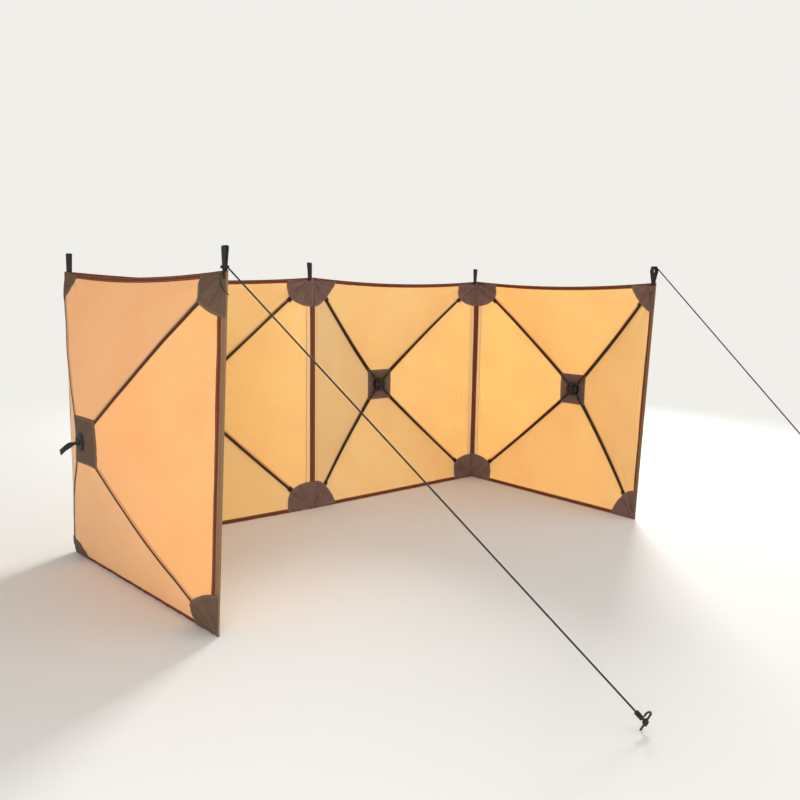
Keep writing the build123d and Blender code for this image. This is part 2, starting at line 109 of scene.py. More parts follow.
def shade(name, description, hex_code):
    """A colour that a user would change, as an sRGB hex value."""
    return StringProperty(name=name, description=description, default=hex_code, maxlen=7)


class WindbreakSizes(PropertyGroup):
    """The driving sizes of the panels and of what is sewn or tied to them."""
    side: length("Panel side", "Width and height of one panel", 1400)
    hub_rise: length("Hub rise", "How far the hub stands out of its panel's plane", 250)
    rod_bow: length("Rod bow", "How much a rod bows past straight", 20)
    left_lean: length("Left edge lean", "How far the left wing's free edge leans over its height", 100)
    right_lean: length("Right edge lean", "How far the right wing's free edge leans over its height", 50)
    left_angle: angle("Left corner", "Angle between the left wing and its neighbour", 84)
    right_angle: angle("Right corner", "Angle between the right wing and its neighbour", 89)
    top_sag: length("Top sag", "How far the top hem hangs below a straight line", 28)
    cloth: length("Cloth", "Thickness of the shown cloth", 0.8)
    trim: length("Trim", "Thickness of bands, bindings and patches", 1.2)
    hem: length("Hem width", "Width of the binding along the top and the bottom", 20)
    band: length("Band width", "Width of the band along each upright edge", 36)
    tape: length("Facing width", "Width of the brown facing on a free edge's band", 21)
    seam_tape: length("Seam tape", "Width of the red-brown tape beside a seam", 16)
    bead: length("Seam bead", "Radius of the stitched bead on a seam", 3)
    seam_gap: length("Seam gap", "Gap between the seam's bead and the panel beside it", 0.4)
    corner_patch: length("Corner patch", "Radius of the quarter disc in a corner", 170)
    patch_inset: length("Patch inset", "From the panel's edge to the corner patch", 14)
    hub_patch: length("Hub patch", "Side of the square patch round a hub", 200)
    hub_hole: length("Hub hole", "Half the side of the opening in the cloth for the hub", 30)
    rod_radius: length("Rod radius", "Radius of a fibreglass rod", 5.5)
    webbing: length("Webbing width", "Width of the loops and pull tabs", 25)
    webbing_thickness: length("Webbing thickness", "Thickness of the webbing", 2)
    cord_radius: length("Cord radius", "Radius of a guy line", 3.2)


class WindbreakColours(PropertyGroup):
    """The colours of the finishes, as they look under plain light."""
    canvas: shade("Canvas", "Apricot polyester cloth", "#EFB57E")
    canvas_deep: shade("Canvas, deep", "The same cloth where folds gather the light", "#E39B60")
    # Painted light: the inner face is the same cloth, painted paler as a lit copy for the light glowing
    # through it
    inside: shade("Inner face", "The coated inner face of the cloth", "#F8CC98")
    inside_deep: shade("Inner face, deep", "The same face where folds gather the light", "#EEB17E")
    # Painted shadow: the dark line where a seam lies over a rod is the rod's shadow seen through the cloth,
    # painted in
    seam_rod_shadow: shade("Felled seam", "The doubled cloth over a rod", "#44250F")
    inner_seam_rod_shadow: shade("Felled seam, inner face", "The same seam behind the rod, in its shadow", "#160D08")
    # Painted shade: the brown strip beside the rod's line is shade on the cloth, painted in
    seam_rod_shade_strip: shade("Rod shade strip", "The seam's turned-in edge, beside the rod", "#9C6E4A")
    # Painted highlight: the pale strip beside a seam's tape stands in for a bright line of light along the
    # seam
    seam_highlight: shade("Seam edge", "The cloth's turned edge beside a seam's tape", "#FFDCA4")
    band: shade("Band", "Brown facing of the free upright edges", "#84664B")
    tape: shade("Tape", "Red-brown tape along hems and edges", "#74331D")
    patch: shade("Patch", "Stout brown cloth of the patches on the inner face", "#7A6059")
    # Painted shade: the outer patch is the patch cloth painted darker, a shaded copy for the face out of the
    # light
    shaded_outer_patch: shade("Outer patch", "The same cloth on the outer face, browner and deeper", "#665040")
    thread: shade("Thread", "Sewing thread", "#A98A63")
    webbing: shade("Webbing", "Black webbing", "#0F0F11")
    rod: shade("Rod", "Black fibreglass", "#0D0D0E")
    nylon: shade("Nylon", "Black moulded nylon", "#101012")
    cord: shade("Cord", "Black braided cord", "#101012")
    steel: shade("Steel", "Black painted steel", "#1C1C1E")


class WindbreakStage(PropertyGroup):
    """The camera, the lamps and the floor."""
    camera_x: coordinate("Camera X", -2.640)
    camera_y: coordinate("Camera Y", -4.005)
    camera_z: coordinate("Camera height", 1.3465)
    heading: angle("Heading", "Where the camera looks, anticlockwise from +X", 50.32)
    dip: angle("Dip", "How far the camera looks down", 7.95)
    roll: angle("Roll", "How far the camera is turned about its view", 0.92)
    lens: FloatProperty(name="Lens", description="Focal length on a 36 mm square frame", default=36.0,
                        subtype="DISTANCE_CAMERA")
    key: power("Key lamp", "Power of the soft key lamp", 135.0)
    fill: power("Fill lamp", "Power of the soft fill lamp", 45.0)
    back: power("Back lamp", "Power of the lamp behind the wall", 940.0)
    world: FloatProperty(name="Daylight", description="Strength of the even light from all round",
                         default=0.53, min=0.0)
    floor: shade("Floor", "Pale floor", "#F1EFEA")


def sizes():
    return bpy.context.scene.windbreak_sizes


def colours():
    return bpy.context.scene.windbreak_colours


# Panels

def heading_vector(turn):
    return np.array((cos(turn), sin(turn), 0.0))


def unit(vector):
    return vector / np.linalg.norm(vector)


def eased(value):
    """A share held between 0 and 1, with a soft start and end."""
    share = np.clip(value, 0, 1)
    return share * share * (3 - 2 * share)


def crest():
    """Depth of the middle control point of a panel's arc, a quadratic curve out to the hub."""
    return sizes().hub_rise / 2 + 2 * sizes().rod_bow


def belly(share):
    """The panel's arc: its depth at a share of the way from an edge to the hub."""
    return 2 * crest() * share * (1 - share) + sizes().hub_rise * share * share


class Wall:
    """One panel in its own upright plane: x along the wall, y up, depth outwards, in metres."""

    def __init__(self, name, start, heading, bottom, top, seed):
        self.name = name
        self.start = np.array(start)
        self.along = heading_vector(heading)
        self.outward = heading_vector(heading + pi / 2)
        side = sizes().side
        self.corners = np.array([(bottom[0], 0.0), (top[0], side), (top[1], side), (bottom[1], 0.0)])
        self.hub = self.corners.mean(0)
        self.phases = np.random.default_rng(seed).uniform(0, 2 * pi, (12, 8))

    def edge(self, number):
        return self.corners[number], self.corners[(number + 1) % 4]

    def inward(self, number):
        a, b = self.edge(number)
        run = unit(b - a)
        return np.array((run[1], -run[0]))

    def on_edge(self, number, share, off):
        """Points in the plane at shares of an edge's length, and a distance inwards from it."""
        a, b = self.edge(number)
        inward = self.inward(number)
        return tuple(a[k] + (b[k] - a[k]) * share + inward[k] * off for k in (0, 1))

    def sag(self, number, share):
        """How far an edge hangs inwards: the top one does, the others are straight."""
        return sizes().top_sag * 4 * share * (1 - share) * (number == 1)

    def distances(self, x, y):
        """Distance from each edge, one row an edge."""
        rows = []
        for number in range(4):
            (left, low), inward = self.corners[number], self.inward(number)
            rows.append((x - left) * inward[0] + (y - low) * inward[1])
        return np.array(rows)

    def reaches(self):
        return self.distances(*self.hub)[:, None]

    def way(self, number):
        """The direction and length of the way from a corner to the hub."""
        ahead = self.hub - self.corners[number]
        return unit(ahead), hypot(*ahead)

    def from_rod(self, number, x, y):
        """Distance from a corner along its rod's line, and off to the line's left."""
        ahead = self.way(number)[0]
        rx, ry = x - self.corners[number][0], y - self.corners[number][1]
        return rx * ahead[0] + ry * ahead[1], ry * ahead[0] - rx * ahead[1]

    def polar(self, number, x, y):
        """Distance from a corner, and the turn about it from the way to the hub."""
        ahead = self.way(number)[0]
        rx, ry = x - self.corners[number][0], y - self.corners[number][1]
        turn = np.arctan2(ry, rx) - atan2(ahead[1], ahead[0])
        return np.hypot(rx, ry), (turn + pi) % (2 * pi) - pi

    def height(self, x, y, folded=True):
        """Depth of the cloth's outer face."""
        away = self.distances(x, y)
        share, second = np.sort(np.clip(away / self.reaches(), 0, 1), axis=0)[:2]
        depth = belly(share)
        if folded:
            depth = depth + self.folds(x, y, away, share, second)
        return depth

    def wave(self, along, spacing, row, column):
        """A sine over a distance, shifted by one of the panel's random phases."""
        return np.sin(2 * pi * along / spacing + self.phases[row, column])

    def waves(self, along, table, row):
        """Several sines over a distance, each by its spacing and weight."""
        return sum(weight * self.wave(along, spacing, row, column)
                   for column, (spacing, weight) in enumerate(table))

    def folds(self, x, y, away, share, second):
        """The cloth's saddle between the rods, its broad waves, and its small folds."""
        between = np.clip((second - share) / np.maximum(1 - share, 1e-6), 0, 1)
        slack = 4 * share * (1 - share)
        total = -SADDLE * between * (2 - between) * slack
        for row, (spacing, size) in enumerate(BROAD_WAVES):
            turn = self.phases[row, 0]
            total = total + size * slack * self.wave(x * cos(turn) + y * sin(turn), spacing, row, 1)
        from_rod = (second - share) * self.reaches().mean() * 0.7
        drift = self.waves(share, ROD_DRIFT, 3)
        patchy = 0.55 + 0.45 * self.wave(x + y, ROD_PATCHES, 3, 2)
        total = total + (ROD_FOLD * patchy * np.exp(-from_rod / ROD_FADE)
                         * np.sin(2 * pi * from_rod / ROD_SPACING + drift))
        for number in (0, 2):
            off = away[number]
            patchy = 0.5 + 0.5 * self.wave(y, BAND_PATCHES, 4 + number, 2)
            swell = np.exp(-((off - BAND_CREST) / BAND_FADE) ** 2)
            drift = self.waves(y, BAND_DRIFT, 4 + number)
            total = total + BAND_FOLD * patchy * swell * np.sin(2 * pi * off / BAND_SPACING + drift)
        for number in (1, 3):
            ripple = self.waves(x, HEM_WAVES, 4 + number)
            total = total + HEM_FOLD * ripple * np.exp(-away[number] / HEM_FADE)
        for number in range(4):
            reach, turn = self.polar(number, x, y)
            reach = reach / CORNER_REACH
            fan = sum(weight * np.sin(count * turn + self.phases[8 + number, column])
                      for column, (count, weight) in enumerate(CORNER_RAYS))
            total = total + CORNER_FOLD * fan * reach * np.exp(1 - reach) * (np.abs(turn) < CORNER_SPREAD)
        # the cloth is flat at the hub, and straight along the upright edges, so that the panels
        # beside them can close
        calm = np.clip((0.93 - share) / 0.1, 0, 1)
        held = np.clip(np.minimum(away[0], away[2]) / EDGE_HELD, 0, 1)
        return total * calm * held * held

    def over_rods(self, x, y):
        """Distance in the plane from the nearest rod's line, signed so that above is positive,
        and unsigned. Past the hub a line counts as a metre off."""
        rays = []
        for number in range(4):
            ahead, run = self.way(number)
            along, off = self.from_rod(number, x, y)
            rays.append(np.where(along > run, 1.0, off * np.sign(ahead[0])))
        rays = np.array(rays)
        nearest = rays[np.abs(rays).argmin(0), np.arange(rays.shape[1])]
        return np.stack((nearest, np.abs(nearest)), axis=1)

    def place(self, x, y, lift):
        """World points on the cloth, lifted square to it by the given offset from its outer face."""
        step = 2 * MM
        h = self.height(x, y)
        slope_x = (self.height(x + step, y) - self.height(x - step, y)) / (2 * step)
        slope_y = (self.height(x, y + step) - self.height(x, y - step)) / (2 * step)
        norm = np.sqrt(1 + slope_x ** 2 + slope_y ** 2)
        return self.world(x - lift * slope_x / norm, y - lift * slope_y / norm, h + lift / norm)

    def world(self, x, y, depth):
        x, y, depth = np.broadcast_arrays(x, y, depth)
        return self.start + x[..., None] * self.along + y[..., None] * UP + depth[..., None] * self.outward

    def rod_point(self, number, share):
        """A rod's centre line at a share of its plan length from the corner to the hub: an arc
        through three points, written in the upright plane of the rod."""
        s = sizes()
        run = self.way(number)[1]
        slope = 4 * crest() / s.side
        foot = -(GORE + (s.rod_radius + ROD_CLEAR) * hypot(1, slope) + ROD_PLAY)
        stops = np.array(((0, foot), (run / 2, belly(0.5) - ROD_INSIDE), (run, belly(1.0) - ROD_END)))
        squares = (stops ** 2).sum(1)
        cx, cy = np.linalg.solve(2 * (stops[1:] - stops[0]), squares[1:] - squares[0])
        depth = cy + np.sqrt(cx ** 2 + (foot - cy) ** 2 - (share * run - cx) ** 2)
        c = self.corners[number]
        return c[0] + (self.hub[0] - c[0]) * share, c[1] + (self.hub[1] - c[1]) * share, depth

    def rod_place(self, number, share):
        return self.world(*self.rod_point(number, share))


def walls():
    """The four panels, placed between the seams that the frame's joints give."""
    s = sizes()
    seams = {joint["name"]: np.array(joint["pos_m"]) for joint in frame["joints"]}
    left, back, right = seams["left_seam"], seams["back_seam"], seams["right_seam"]
    back_left = atan2(*(back - left)[[1, 0]])
    back_right = atan2(*(right - back)[[1, 0]])
    left_heading = back_left + pi - s.left_angle
    right_heading = back_right - pi + s.right_angle
    gap = s.bead + s.seam_gap
    left_start = left - heading_vector(left_heading) * s.side
    return [
        Wall("left_wing", left_start, left_heading,
             (s.left_lean / 2, s.side - gap), (-s.left_lean / 2, s.side - gap), 11),
        Wall("back_left", left, back_left, (0, s.side), (0, s.side), 23),
        Wall("back_right", back, back_right, (gap, s.side), (gap, s.side), 37),
        Wall("right_wing", right, right_heading,
             (gap, s.side - s.right_lean / 2), (gap, s.side + s.right_lean / 2), 53),
    ]


# Mesh making for cloth, straps and cords. A part is its points, its faces and one pair of flat
# coordinates, in metres, for each point.

def stand_for(piece, body, slot, *nodes):
    """Has a piece ride a body and take the place of nodes of the frame."""
    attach(piece, body)
    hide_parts(*nodes)
    return piece


def add_map(mesh, name, values):
    """A set of flat coordinates on a mesh, one pair for each point."""
    corners = np.empty(len(mesh.loops), dtype=np.int32)
    mesh.loops.foreach_get("vertex_index", corners)
    values = np.asarray(values, dtype=np.float32)[corners]
    mesh.uv_layers.new(name=name).data.foreach_set("uv", values.ravel())


def mesh_piece(name, parts, finishes, second_faces=()):
    """One smooth mesh object from parts. The second of two finishes covers the given faces."""
    points, faces, flat = join_parts(parts)
    mesh = bpy.data.meshes.new(name)
    mesh.from_pydata([tuple(p) for p in points], [], [tuple(int(i) for i in f) for f in faces])
    add_map(mesh, "flat", flat)
    mesh.polygons.foreach_set("use_smooth", np.ones(len(mesh.polygons), dtype=bool))
    for material in finishes:
        mesh.materials.append(finish(material))
    for number in second_faces:
        mesh.polygons[number].material_index = 1
    mesh.validate()
    piece = bpy.data.objects.new(name, mesh)
    bpy.context.scene.collection.objects.link(piece)
    return piece


def panel_piece(wall, name, parts, finishes, slot, nodes, second_faces=()):
    """A mesh piece of a panel, in the place of the panel's nodes with the given names."""
    piece = mesh_piece(f"{wall.name}_{name}", parts, finishes, second_faces)
    return stand_for(piece, wall.name, slot, *(f"{wall.name}_{node}" for node in nodes))


def rim_edges(faces):
    """The directed edges that only one face has."""
    seen = {(a, b) for face in faces for a, b in zip(face, face[1:] + face[:1])}
    return [(a, b) for a, b in seen if (b, a) not in seen]


def shell(outer, inner, faces):
    """Points and faces of a closed sheet between two matching layers; faces turn outwards."""
    count = len(outer)
    closed = list(faces) + [tuple(i + count for i in reversed(face)) for face in faces]
    closed += [(b, a, a + count, b + count) for a, b in rim_edges(faces)]
    return np.concatenate((outer, inner)), closed


def grid_faces(rows, columns, around=False):
    """Faces of a grid of points, rows by columns; around says that the last column meets the first."""
    faces = []
    for i in range(rows - 1):
        for j in range(columns if around else columns - 1):
            k = (j + 1) % columns
            faces.append((i * columns + j, i * columns + k, (i + 1) * columns + k, (i + 1) * columns + j))
    return faces


def face_numbers(parts, chosen):
    """The numbers that the faces of the chosen parts have once the parts are joined."""
    ends = np.cumsum([len(part[1]) for part in parts])
    return [k for end, part, wanted in zip(ends, parts, chosen) if wanted
            for k in range(end - len(part[1]), end)]


def join_parts(parts):
    """Several parts as one."""
    faces, base = [], 0
    for points, part_faces, _ in parts:
        faces += [tuple(i + base for i in face) for face in part_faces]
        base += len(points)
    return np.concatenate([part[0] for part in parts]), faces, np.concatenate([part[2] for part in parts])


def travel(line):
    """The direction of a line at each of its points, and the distance to it from the start."""
    ahead = np.gradient(line, axis=0)
    steps = np.linalg.norm(np.diff(line, axis=0), axis=1)
    return ahead / np.linalg.norm(ahead, axis=1)[:, None], np.concatenate(((0,), np.cumsum(steps)))


def swept(points, flat, rows, count):
    """A closed part from rows of points, each a ring with the given count."""
    faces = grid_faces(rows, count, True)
    faces += [tuple(reversed(range(count))), tuple(range((rows - 1) * count, rows * count))]
    return np.array(points), faces, np.array(flat)


def tube(line, radius, sides):
    """A round tube along a line of points, with its ends closed."""
    line = np.asarray(line, float)
    ahead, run = travel(line)
    side = np.cross(ahead[0], UP if abs(ahead[0][2]) < 0.9 else np.array((1.0, 0, 0)))
    points, flat = [], []
    for point, forward, gone in zip(line, ahead, run):
        side = unit(side - forward * side.dot(forward))
        other = np.cross(forward, side)
        for turn in 2 * pi * np.arange(sides) / sides:
            points.append(point + radius * (cos(turn) * side + sin(turn) * other))
            flat.append((radius * turn, gone))
    return swept(points, flat, len(line), sides)


def strap(line, across, width, thickness):
    """A flat strap along a line of points. across gives its width direction, once or at each point."""
    line = np.asarray(line, float)
    across = np.broadcast_to(across, line.shape)
    ahead, run = travel(line)
    face = np.cross(across, ahead)
    face /= np.linalg.norm(face, axis=1)[:, None]
    half = [(-1, -0.3), (-0.94, -1), (-0.5, -1), (0, -1), (0.5, -1), (0.94, -1), (1, -0.3)]
    profile = half + [(-u, -v) for u, v in half]
    points, flat = [], []
    for i in range(len(line)):
        for u, v in profile:
            points.append(line[i] + across[i] * u * width / 2 + face[i] * v * thickness / 2)
            flat.append((u * width / 2, run[i]))
    return swept(points, flat, len(line), len(profile))


def smooth_line(points, steps):
    """A smooth line through the given points."""
    points = np.asarray(points, float)
    padded = np.concatenate((2 * points[:1] - points[1:2], points, 2 * points[-1:] - points[-2:-1]))
    out = []
    for a, b, c, d in zip(padded, padded[1:], padded[2:], padded[3:]):
        for t in np.arange(steps) / steps:
            out.append(0.5 * (2 * b + (c - a) * t + (2 * a - 5 * b + 4 * c - d) * t * t
                              + (3 * b - a - 3 * c + d) * t ** 3))
    out.append(points[-1])
    return np.array(out)


# Materials

def linear(hex_code):
    """An sRGB hex colour as linear RGBA."""
    parts = [int(hex_code[i:i + 2], 16) / 255 for i in (1, 3, 5)]
    return tuple(c / 12.92 if c <= 0.04045 else ((c + 0.055) / 1.055) ** 2.4 for c in parts) + (1.0,)


def set_inputs(owner, node, inputs):
    """Sets a node's inputs, and links those that are given another node's output."""
    for key, value in inputs.items():
        if isinstance(value, bpy.types.NodeSocket):
            owner.node_tree.links.new(value, node.inputs[key])
        else:
            node.inputs[key].default_value = value


def add_node(owner, kind, inputs=None, **settings):
    """Adds one node to a material or a world, and sets its fields and its inputs."""
    node = owner.node_tree.nodes.new(kind)
    for field, value in settings.items():
        setattr(node, field, value)
    set_inputs(owner, node, inputs or {})
    return node


def new_material(name):
    """A new node material and its Principled shader."""
    material = bpy.data.materials.new(name)
    material.use_nodes = True
    return material, material.node_tree.nodes["Principled BSDF"]


def coordinates(material, name="flat"):
    """A piece's own coordinates by name. The flat ones are in metres."""
    return add_node(material, "ShaderNodeUVMap", uv_map=name).outputs["UV"]


def mix_colours(material, share, first, second):
    """Two colours, or two colour outputs, mixed by a share."""
    return add_node(material, "ShaderNodeMix", {0: share, 6: first, 7: second},
                    data_type="RGBA", clamp_factor=True).outputs[2]


def calculate(owner, operation, first, second=None):
    """One sum on one or two values."""
    inputs = {0: first} if second is None else {0: first, 1: second}
    return add_node(owner, "ShaderNodeMath", inputs, operation=operation).outputs[0]


def remap(material, value, low, high, start=0.0, end=1.0, **settings):
    """A value's place between low and high, as a number held between start and end."""
    inputs = {"Value": value, "From Min": low, "From Max": high, "To Min": start, "To Max": end}
    return add_node(material, "ShaderNodeMapRange", inputs, **settings).outputs["Result"]


def noise(material, vector, scale, detail, roughness=0.5, distortion=0.0):
    """Soft noise over coordinates."""
    inputs = {"Vector": vector, "Scale": scale, "Detail": detail, "Roughness": roughness,
              "Distortion": distortion}
    return add_node(material, "ShaderNodeTexNoise", inputs).outputs["Fac"]


def bands(material, vector, steps, direction, scale, distortion=0.0, detail=2.0):
    """Regular bands over coordinates that are first scaled by the given steps."""
    scaled = add_node(material, "ShaderNodeMapping", {"Vector": vector, "Scale": steps}).outputs["Vector"]
    inputs = {"Vector": scaled, "Scale": scale, "Distortion": distortion, "Detail": detail}
    return add_node(material, "ShaderNodeTexWave", inputs, wave_type="BANDS",
                    bands_direction=direction).outputs["Fac"]


def raised(material, height, strength, distance, normal=None):
    """A normal tilted by a height, on top of another normal where one is given."""
    inputs = {"Height": height, "Strength": strength, "Distance": distance}
    if normal:
        inputs["Normal"] = normal
    return add_node(material, "ShaderNodeBump", inputs).outputs["Normal"]


def canvas_material(name, base, deep, seam_rod_shadow):
    """Polyester taffeta, plain woven and coated: an even, slightly translucent cloth with a
    faint grid of threads, soft clouds of deeper colour and fine creases. Its inner face is
    painted paler: a lit copy of the same cloth, standing in for the light that glows through it."""
    material, shader = new_material(name)
    flat = coordinates(material)
    share = remap(material, noise(material, flat, 3.2, 3.0, 0.55), 0.42, 0.74, 0.0, 0.30)
    colour = mix_colours(material, share, linear(base), linear(deep))
    # Where two gores meet over a rod there is a seam, with the rod's shadow through the cloth painted on it:
    # a dark line of painted shadow, with a paler brown strip of painted shade above it
    over_rods = coordinates(material, "over_rods")
    off_rod, from_rod, _ = add_node(material, "ShaderNodeSeparateXYZ", {"Vector": over_rods}).outputs
    close, blur = calculate(material, "LESS_THAN", from_rod, 0.03), 0.0015
    for low, high, strength, tone in ((-0.0095, 0.0065, 1.0, seam_rod_shadow),
                                      (0.0065, 0.016, 0.5, colours().seam_rod_shade_strip)):
        above = remap(material, off_rod, low - blur, low + blur, 0.0, strength)
        below = remap(material, off_rod, high - blur, high + blur, 1.0, 0.0)
        share = calculate(material, "MULTIPLY", calculate(material, "MULTIPLY", above, below), close)
        colour = mix_colours(material, share, colour, linear(tone))
    # Threads are 0.3 mm apart; every eighth is drawn, 2.4 mm apart, because finer ones don't show
    steps = (1 / 0.0024, 1 / 0.0024, 1)
    warp, weft = (bands(material, flat, steps, way, 0.32, 0.6, 1.0) for way in "XY")
    weave = raised(material, calculate(material, "ADD", warp, weft), 0.10, 0.0003)
    # Creases left by the cloth's bag, a few centimetres apart
    creases = noise(material, flat, 26.0, 4.0, 0.62, 1.2)
    set_inputs(material, shader, {
        "Base Color": colour, "Normal": raised(material, creases, 0.32, 0.0035, weave),
        "Roughness": 0.74, "Specular IOR Level": 0.25, "Sheen Weight": 0.12, "Sheen Roughness": 0.5,
        "Subsurface Weight": 0.8, "Subsurface Radius": (1.0, 0.7, 0.45), "Subsurface Scale": 0.003})
    return material


def trim_material(name, base, deep, stitch_lines, edge_tape=None, ends=None):
    """Stout polyester cloth, folded and sewn: a dull brown with darker folds, an edge tape
    where there is one, and rows of stitches at given distances from the edge. Its ends may
    have a colour of their own, up to a distance from the corners."""
    material, shader = new_material(name)
    flat = coordinates(material)
    across, along, _ = add_node(material, "ShaderNodeSeparateXYZ", {"Vector": flat}).outputs
    share = remap(material, noise(material, flat, 14.0, 4.0, 0.6), 0.4, 0.8, 0.0, 0.5)
    colour = mix_colours(material, share, linear(base), linear(deep))
    if edge_tape:
        width, tone = edge_tape
        colour = mix_colours(material, calculate(material, "LESS_THAN", across, width), colour, linear(tone))
    if ends:
        reach, tone = ends
        half = sizes().side / 2
        off = calculate(material, "ABSOLUTE", calculate(material, "SUBTRACT", along, half))
        at_end = calculate(material, "GREATER_THAN", off, half - reach)
        colour = mix_colours(material, at_end, colour, linear(tone))
    normal = raised(material, noise(material, flat, 60.0, 3.0), 0.35, 0.0015)
    for distance in stitch_lines:
        # Lockstitch: 3.2 mm stitches, 4.5 mm apart, drawn 1.2 mm wide for a 0.5 mm thread
        off = calculate(material, "ABSOLUTE", calculate(material, "SUBTRACT", across, distance))
        row = calculate(material, "LESS_THAN", off, 0.0006)
        step = calculate(material, "FRACT", calculate(material, "DIVIDE", along, 0.0045))
        stitch = calculate(material, "MULTIPLY", row, calculate(material, "LESS_THAN", step, 0.72))
        colour = mix_colours(material, stitch, colour, linear(colours().thread))
        normal = raised(material, stitch, 0.5, 0.0008, normal)
    set_inputs(material, shader, {"Base Color": colour, "Normal": normal, "Roughness": 0.82,
                                  "Specular IOR Level": 0.25})
    return material


def webbing_material():
    """Polypropylene webbing: black, with ribs across it, a slanting twill and pale dust."""
    material, shader = new_material("woven polypropylene webbing")
    flat = coordinates(material)
    # Ribs 3 mm apart
    ribs = bands(material, flat, (1, 1 / 0.0016, 1), "Y", 0.16, 0.4)
    twill = bands(material, flat, (1 / 0.0022,) * 3, "DIAGONAL", 0.16, 0.3)
    weave = calculate(material, "ADD", ribs, twill)
    share = remap(material, noise(material, flat, 40.0, 3.0), 0.5, 0.8, 0.0, 0.35)
    colour = mix_colours(material, share, linear(colours().webbing), linear("#29292D"))
    set_inputs(material, shader, {"Base Color": colour, "Normal": raised(material, weave, 0.5, 0.0005),
                                  "Roughness": 0.68})
    return material


def braid_material():
    """Braided polyester cord: black, with strands that cross at a slant."""
    material, shader = new_material("braided polyester cord")
    flat = coordinates(material)
    # Strands both ways, nearly 6 mm apart round the cord and 8 mm along it
    strands = [bands(material, flat, (slant / 0.0018, 1 / 0.0026, 1), "DIAGONAL", 0.2) for slant in (1, -1)]
    height = calculate(material, "MAXIMUM", *strands)
    # The grooves between the strands are painted a darker black than their tops: painted shade
    share = remap(material, height, 0.3, 1.0)
    colour = mix_colours(material, share, linear("#0C0C0D"), linear(colours().cord))
    set_inputs(material, shader, {"Base Color": colour, "Normal": raised(material, height, 0.6, 0.0006),
                                  "Roughness": 0.6})
    return material


def hard_material(name, hex_code, roughness, grain, depth, worn="#3A3A3D"):
    """A hard black finish with a fine grain of a given size in metres and worn high spots."""
    material, shader = new_material(name)
    position = add_node(material, "ShaderNodeTexCoord").outputs["Object"]
    fine = noise(material, position, 1 / grain, 2.0)
    broad = noise(material, position, 0.08 / grain, 4.0)
    share = remap(material, broad, 0.55, 0.8, 0.0, 0.45)
    set_inputs(material, shader, {
        "Base Color": mix_colours(material, share, linear(hex_code), linear(worn)),
        "Roughness": remap(material, broad, 0.3, 0.7, roughness - 0.06, roughness + 0.08),
        "Normal": raised(material, fine, 0.3, depth)})
    return material


def floor_material(stage):
    """Matt floor paint, which passes into the background's colour a few metres out."""
    material, shader = new_material("matt floor paint")
    paint = linear(stage.floor)
    set_inputs(material, shader, {"Base Color": paint, "Roughness": 0.9, "Specular IOR Level": 0.1})
    position = add_node(material, "ShaderNodeTexCoord").outputs["Object"]
    away = add_node(material, "ShaderNodeVectorMath", {0: position}, operation="LENGTH").outputs["Value"]
    far = remap(material, away, 3.2, 6.2, interpolation_type="SMOOTHSTEP")
    seen = add_node(material, "ShaderNodeLightPath").outputs["Is Camera Ray"]
    plain = add_node(material, "ShaderNodeEmission", {"Color": paint, "Strength": 1.0})
    mix = add_node(material, "ShaderNodeMixShader", {0: calculate(material, "MULTIPLY", far, seen),
                                                     1: shader.outputs[0], 2: plain.outputs[0]})
    set_inputs(material, material.node_tree.nodes["Material Output"], {"Surface": mix.outputs[0]})
    return material


def recipes(c, s):
    """How each finish is made, from the colours and sizes."""
    dark_tape = "#4E1E10"
    patch_rows = (0.003, 0.009)
    return {
        "canvas": lambda: canvas_material("woven polyester cloth", c.canvas, c.canvas_deep, c.seam_rod_shadow),
        # The inner face: the same cloth painted paler, a lit copy for the light glowing through it
        "lit inner canvas": lambda: canvas_material("coated polyester cloth", c.inside, c.inside_deep,
                                                 c.inner_seam_rod_shadow),
        "hem": lambda: trim_material("folded polyester binding", c.tape, dark_tape, (0.004, 0.016)),
        "band": lambda: trim_material("sewn polyester band", c.tape, dark_tape,
                                      (0.004, s.tape - 0.002, 0.033), (s.tape, c.band)),
        # The seam's pale strip beside its tape is a painted highlight, mixed with the paler lit inner colour
        "seam": lambda: trim_material("taped polyester seam", c.seam_highlight, c.inside,
                                      (0.004, s.seam_tape - 0.002, 0.033), (s.seam_tape, c.tape),
                                      (s.corner_patch * 0.97, c.patch)),
        "patch": lambda: trim_material("stout polyester patch", c.patch, "#4A3A33", patch_rows),
        # The outer patches: the patch cloth painted darker, as painted shade
        "shaded outer patch": lambda: trim_material("stout polyester shaded outer patch", c.shaded_outer_patch, "#46362A",
                                             patch_rows),
        "webbing": webbing_material,
        "cord": braid_material,
        # Pultruded fibreglass: smooth and satin, with a faint grain
        "rod": lambda: hard_material("pultruded fibreglass", c.rod, 0.36, 0.0012, 0.0001),
        # Moulded nylon: a fine spark-eroded grain that dulls the light
        "nylon": lambda: hard_material("moulded nylon", c.nylon, 0.5, 0.0009, 0.0002),
        # Steel wire, dipped in paint that wears to grey on its high spots
        "steel": lambda: hard_material("painted steel wire", c.steel, 0.42, 0.0016, 0.0002, "#6A6A6C"),
    }


made_finishes = {}


def finish(name):
    """A finish by name, made once."""
    if name not in made_finishes:
        made_finishes[name] = recipes(colours(), sizes())[name]()
    return made_finishes[name]


# Pieces of one panel

def square_ticks(rings):
    """Column and row numbers of a square grid's points, from its middle."""
    ticks = np.arange(-rings, rings + 1)
    return (grid.ravel() for grid in np.meshgrid(ticks, ticks, indexing="ij"))


